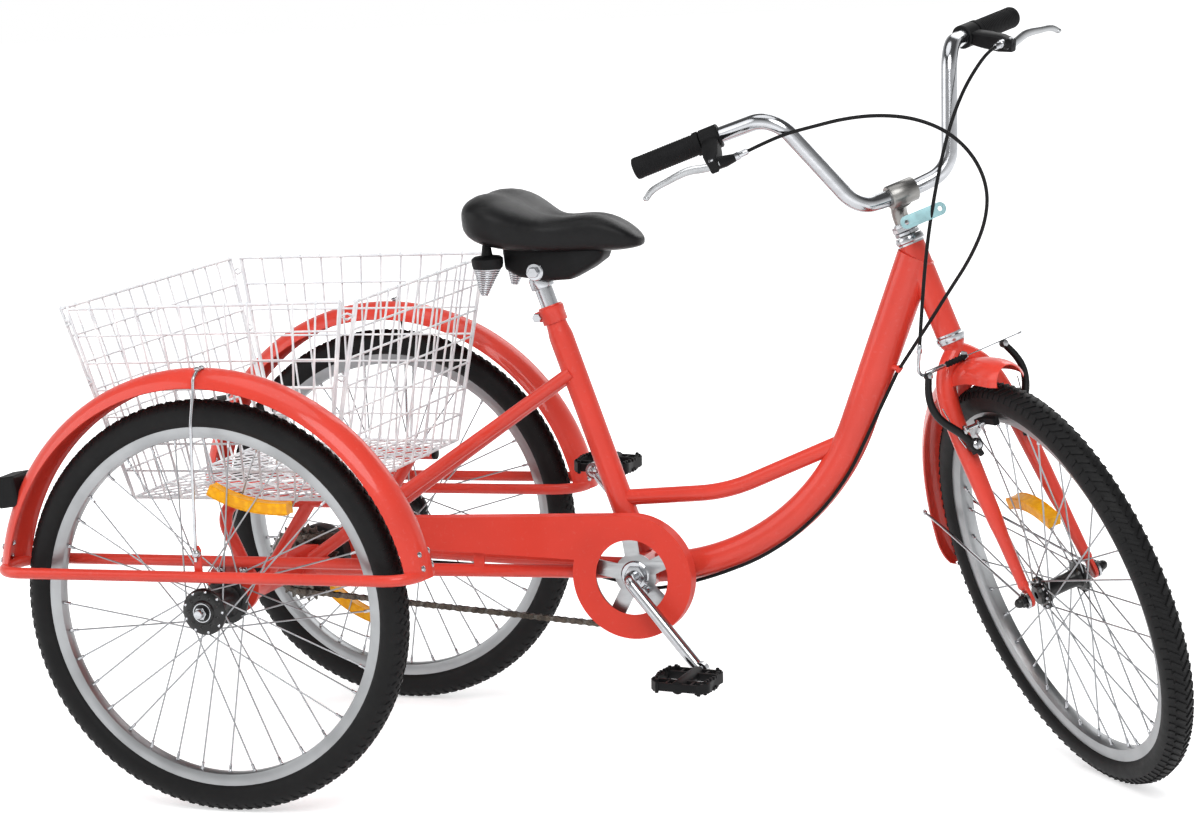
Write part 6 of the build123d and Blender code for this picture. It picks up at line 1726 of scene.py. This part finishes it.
class TricycleLook(bpy.types.PropertyGroup):
    """Colours and light levels of the tricycle."""

    coral: colour("Coral paint", (0.76, 0.056, 0.034))
    black: colour("Black parts", (0.0045, 0.0045, 0.005))
    rubber: colour("Tyre rubber", (0.006, 0.006, 0.0064))
    chrome: colour("Chrome", (0.47, 0.48, 0.50))
    aluminium: colour("Aluminium", (0.42, 0.43, 0.44))
    wire_white: colour("White wire coating", (0.80, 0.81, 0.83))
    amber: colour("Wheel reflectors", (1.0, 0.42, 0.006))
    red: colour("Rear lights", (0.55, 0.012, 0.012))
    floor_size: FloatProperty(name="Floor size", description="Side of the floor", default=40.0, unit="LENGTH", min=5)
    floor_glow: FloatProperty(name="Floor glow", description="White added for the camera", default=0.55, min=0)
    world_strength: FloatProperty(name="Surroundings", description="Strength of the soft surroundings", default=0.42)
    ceiling: FloatProperty(name="Ceiling", description="Strength seen overhead in metal", default=0.12, min=0, max=1)
    key_power: FloatProperty(name="Key lamp", description="Power of the main lamp", default=115.0, min=0)
    fill_power: FloatProperty(name="Fill lamp", description="Power of the side lamp", default=52.0, min=0)
    rim_power: FloatProperty(name="Rim lamp", description="Power of the lamp behind", default=45.0, min=0)
    top_power: FloatProperty(name="Top lamp", description="Power of the lamp above", default=38.0, min=0)


class Look:
    """The settings with the materials made from them."""

    def __init__(self, settings):
        self.settings = settings
        black, coral = tuple(settings.black), tuple(settings.coral)
        self.materials = {
            "coral_paint": paint("coral_enamel", coral),
            "satin_coral": paint("satin_coral_enamel", coral, 0.5, 0.08),
            "black_enamel": paint("black_enamel", black, 0.34, 0.35),
            "white_coating": moulded("white_wire_coating", tuple(settings.wire_white), 0.34, 500.0, 0.00005),
            "chrome": plated("chrome_plating", tuple(settings.chrome), 0.10),
            "spoke_steel": plated("spoke_steel", (0.36, 0.37, 0.385), 0.28),
            "stem_alloy": plated("cast_stem_alloy", (0.27, 0.265, 0.255), 0.26, 0.08),
            "aluminium": plated("polished_aluminium", tuple(settings.aluminium), 0.24, 0.09),
            "rim_aluminium": spun_aluminium("rolled_rim", tuple(c * 0.84 for c in settings.aluminium)),
            "black_steel": moulded("black_coated_steel", black, 0.4, 900.0, gloss=0.22),
            "chain_steel": chain_metal("oiled_chain_steel", (0.055, 0.045, 0.037)),
            "dark_steel": chain_metal("dark_sprocket_steel", (0.075, 0.068, 0.06)),
            "tyre_rubber": tyre_rubber("tyre_rubber", tuple(settings.rubber)),
            "grip_rubber": moulded("grip_rubber", black, 0.62, 700.0, 0.0002, 0.18),
            "black_plastic": moulded("black_moulded_plastic", black, 0.44, gloss=0.16),
            "saddle_vinyl": vinyl("saddle_vinyl", black),
            "amber_plastic": reflector("amber_reflector", tuple(settings.amber)),
            "amber": reflector("amber_wheel_reflector", tuple(settings.amber)),
            "red_plastic": reflector("red_lens", tuple(settings.red), 300.0),
            "pale_film": moulded("pale_film", (0.30, 0.50, 0.53), 0.25, 300.0, 0.00004),
        }

    def __getitem__(self, finish):
        return self.materials[finish]

    def __getattr__(self, name):
        return getattr(self.settings, name)


LOOKS = []


def current_look(context):
    """The one Look, made from the scene's settings when it is first asked for."""
    if not LOOKS:
        LOOKS.append(Look(context.scene.tricycle_look))
    return LOOKS[0]


def dress_cad(look):
    """Procedural materials on every node that the CAD part keeps on show."""
    slots = {part["node"]: part["material_slot"] for part in frame["record"]["subparts"]}
    for name, node in frame["nodes"].items():
        material = look[slots[name]]
        for index in range(len(node.material_slots)):
            node.material_slots[index].material = material


class TRICYCLE_OT_cad(bpy.types.Operator):
    """Gives every CAD node on show its procedural material"""

    bl_idname = "tricycle.cad"
    bl_label = "Dress the CAD nodes"

    def execute(self, context):
        dress_cad(current_look(context))
        return {"FINISHED"}


class TRICYCLE_OT_wheels(bpy.types.Operator):
    """Builds the tyres, laced rims, hubs and wheel reflectors"""

    bl_idname = "tricycle.wheels"
    bl_label = "Build the wheels"

    def execute(self, context):
        look = current_look(context)
        front_tyre(look)
        laced_rim(look, "front_rim", "front_wheel", FRONT_CENTRE, 24.0, 60.0, STEERED)
        front_hub(look)
        wheel_reflector(look, "front_wheel_reflector", "front_wheel", FRONT_CENTRE, FRONT_REFLECTOR, STEERED)
        for side, name, reflector_place in ((-1, "right_rear", RIGHT_REFLECTOR), (1, "left_rear", LEFT_REFLECTOR)):
            centre = REAR_AXLE + sideways(side * HALF_TRACK)
            rear_tyre(look, name + "_tyre", name + "_wheel", centre)
            laced_rim(look, name + "_rim", name + "_wheel", centre, 33.0, 66.0)
            rear_hub(look, side, name + "_wheel")
            wheel_reflector(look, name + "_reflector", name + "_wheel", centre, reflector_place)
        return {"FINISHED"}


class TRICYCLE_OT_fenders(bpy.types.Operator):
    """Builds the fenders with their stays and bolts"""

    bl_idname = "tricycle.fenders"
    bl_label = "Build the fenders"

    def execute(self, context):
        look = current_look(context)
        rear_fenders(look)
        rear_fender_stays(look)
        front_fender(look)
        return {"FINISHED"}


class TRICYCLE_OT_fittings(bpy.types.Operator):
    """Adds the seat tube with its collar, the headset, welds, bolts and plugs"""

    bl_idname = "tricycle.fittings"
    bl_label = "Fit out the frame"

    def execute(self, context):
        look = current_look(context)
        frame_fittings(look)
        headset(look)
        seat_tube(look)
        return {"FINISHED"}


class TRICYCLE_OT_basket(bpy.types.Operator):
    """Builds the wire basket"""

    bl_idname = "tricycle.basket"
    bl_label = "Build the basket"

    def execute(self, context):
        basket(current_look(context))
        return {"FINISHED"}


class TRICYCLE_OT_drive(bpy.types.Operator):
    """Builds the chain, sprockets, chain guard, brake drum and pedals"""

    bl_idname = "tricycle.drive"
    bl_label = "Build the drive"

    def execute(self, context):
        look = current_look(context)
        chain(look)
        chainring(look)
        chain_guard(look)
        freewheel(look)
        brake_band(look)
        pedal(look, -1)
        pedal(look, 1)
        return {"FINISHED"}


class TRICYCLE_OT_saddle(bpy.types.Operator):
    """Builds the saddle, its base, clamp and springs"""

    bl_idname = "tricycle.saddle"
    bl_label = "Build the saddle"

    def execute(self, context):
        look = current_look(context)
        saddle(look)
        saddle_pan(look)
        saddle_springs(look)
        return {"FINISHED"}


class TRICYCLE_OT_front_end(bpy.types.Operator):
    """Builds the fork, stem, grips, levers, brake, cables and front reflector"""

    bl_idname = "tricycle.front_end"
    bl_label = "Build the front end"

    def execute(self, context):
        look = current_look(context)
        fork(look)
        stem(look)
        grips(look)
        brake_levers(look)
        brake_arms(look)
        noodle(look)
        front_reflector(look)
        cables(look)
        return {"FINISHED"}


class TRICYCLE_OT_stage(bpy.types.Operator):
    """Adds the floor, lamps, surroundings and camera"""

    bl_idname = "tricycle.stage"
    bl_label = "Set the stage"

    def execute(self, context):
        build_stage(current_look(context))
        return {"FINISHED"}


OPERATORS = (
    TRICYCLE_OT_cad, TRICYCLE_OT_wheels, TRICYCLE_OT_fenders, TRICYCLE_OT_fittings, TRICYCLE_OT_basket,
    TRICYCLE_OT_drive, TRICYCLE_OT_saddle, TRICYCLE_OT_front_end, TRICYCLE_OT_stage,
)


class TRICYCLE_PT_panel(bpy.types.Panel):
    """Every step of the tricycle in order, with its colours and light levels"""

    bl_idname = "TRICYCLE_PT_panel"
    bl_label = "Adult tricycle"
    bl_space_type = "VIEW_3D"
    bl_region_type = "UI"
    bl_category = "Tricycle"

    def draw(self, context):
        for name in TricycleLook.__annotations__:
            self.layout.prop(context.scene.tricycle_look, name)
        for operator in OPERATORS:
            self.layout.operator(operator.bl_idname)


CLASSES = (TricycleLook, *OPERATORS, TRICYCLE_PT_panel)


def register():
    for cls in CLASSES:
        bpy.utils.register_class(cls)
    bpy.types.Scene.tricycle_look = PointerProperty(type=TricycleLook)


def unregister():
    del bpy.types.Scene.tricycle_look
    for cls in reversed(CLASSES):
        bpy.utils.unregister_class(cls)


def main():
    register()
    bpy.context.scene.view_settings.view_transform = "Standard"
    for operator in OPERATORS:
        group, name = operator.bl_idname.split(".")
        if getattr(getattr(bpy.ops, group), name)() != {"FINISHED"}:
            raise RuntimeError(operator.bl_label + " did not finish")


if __name__ == "__main__":
    main()
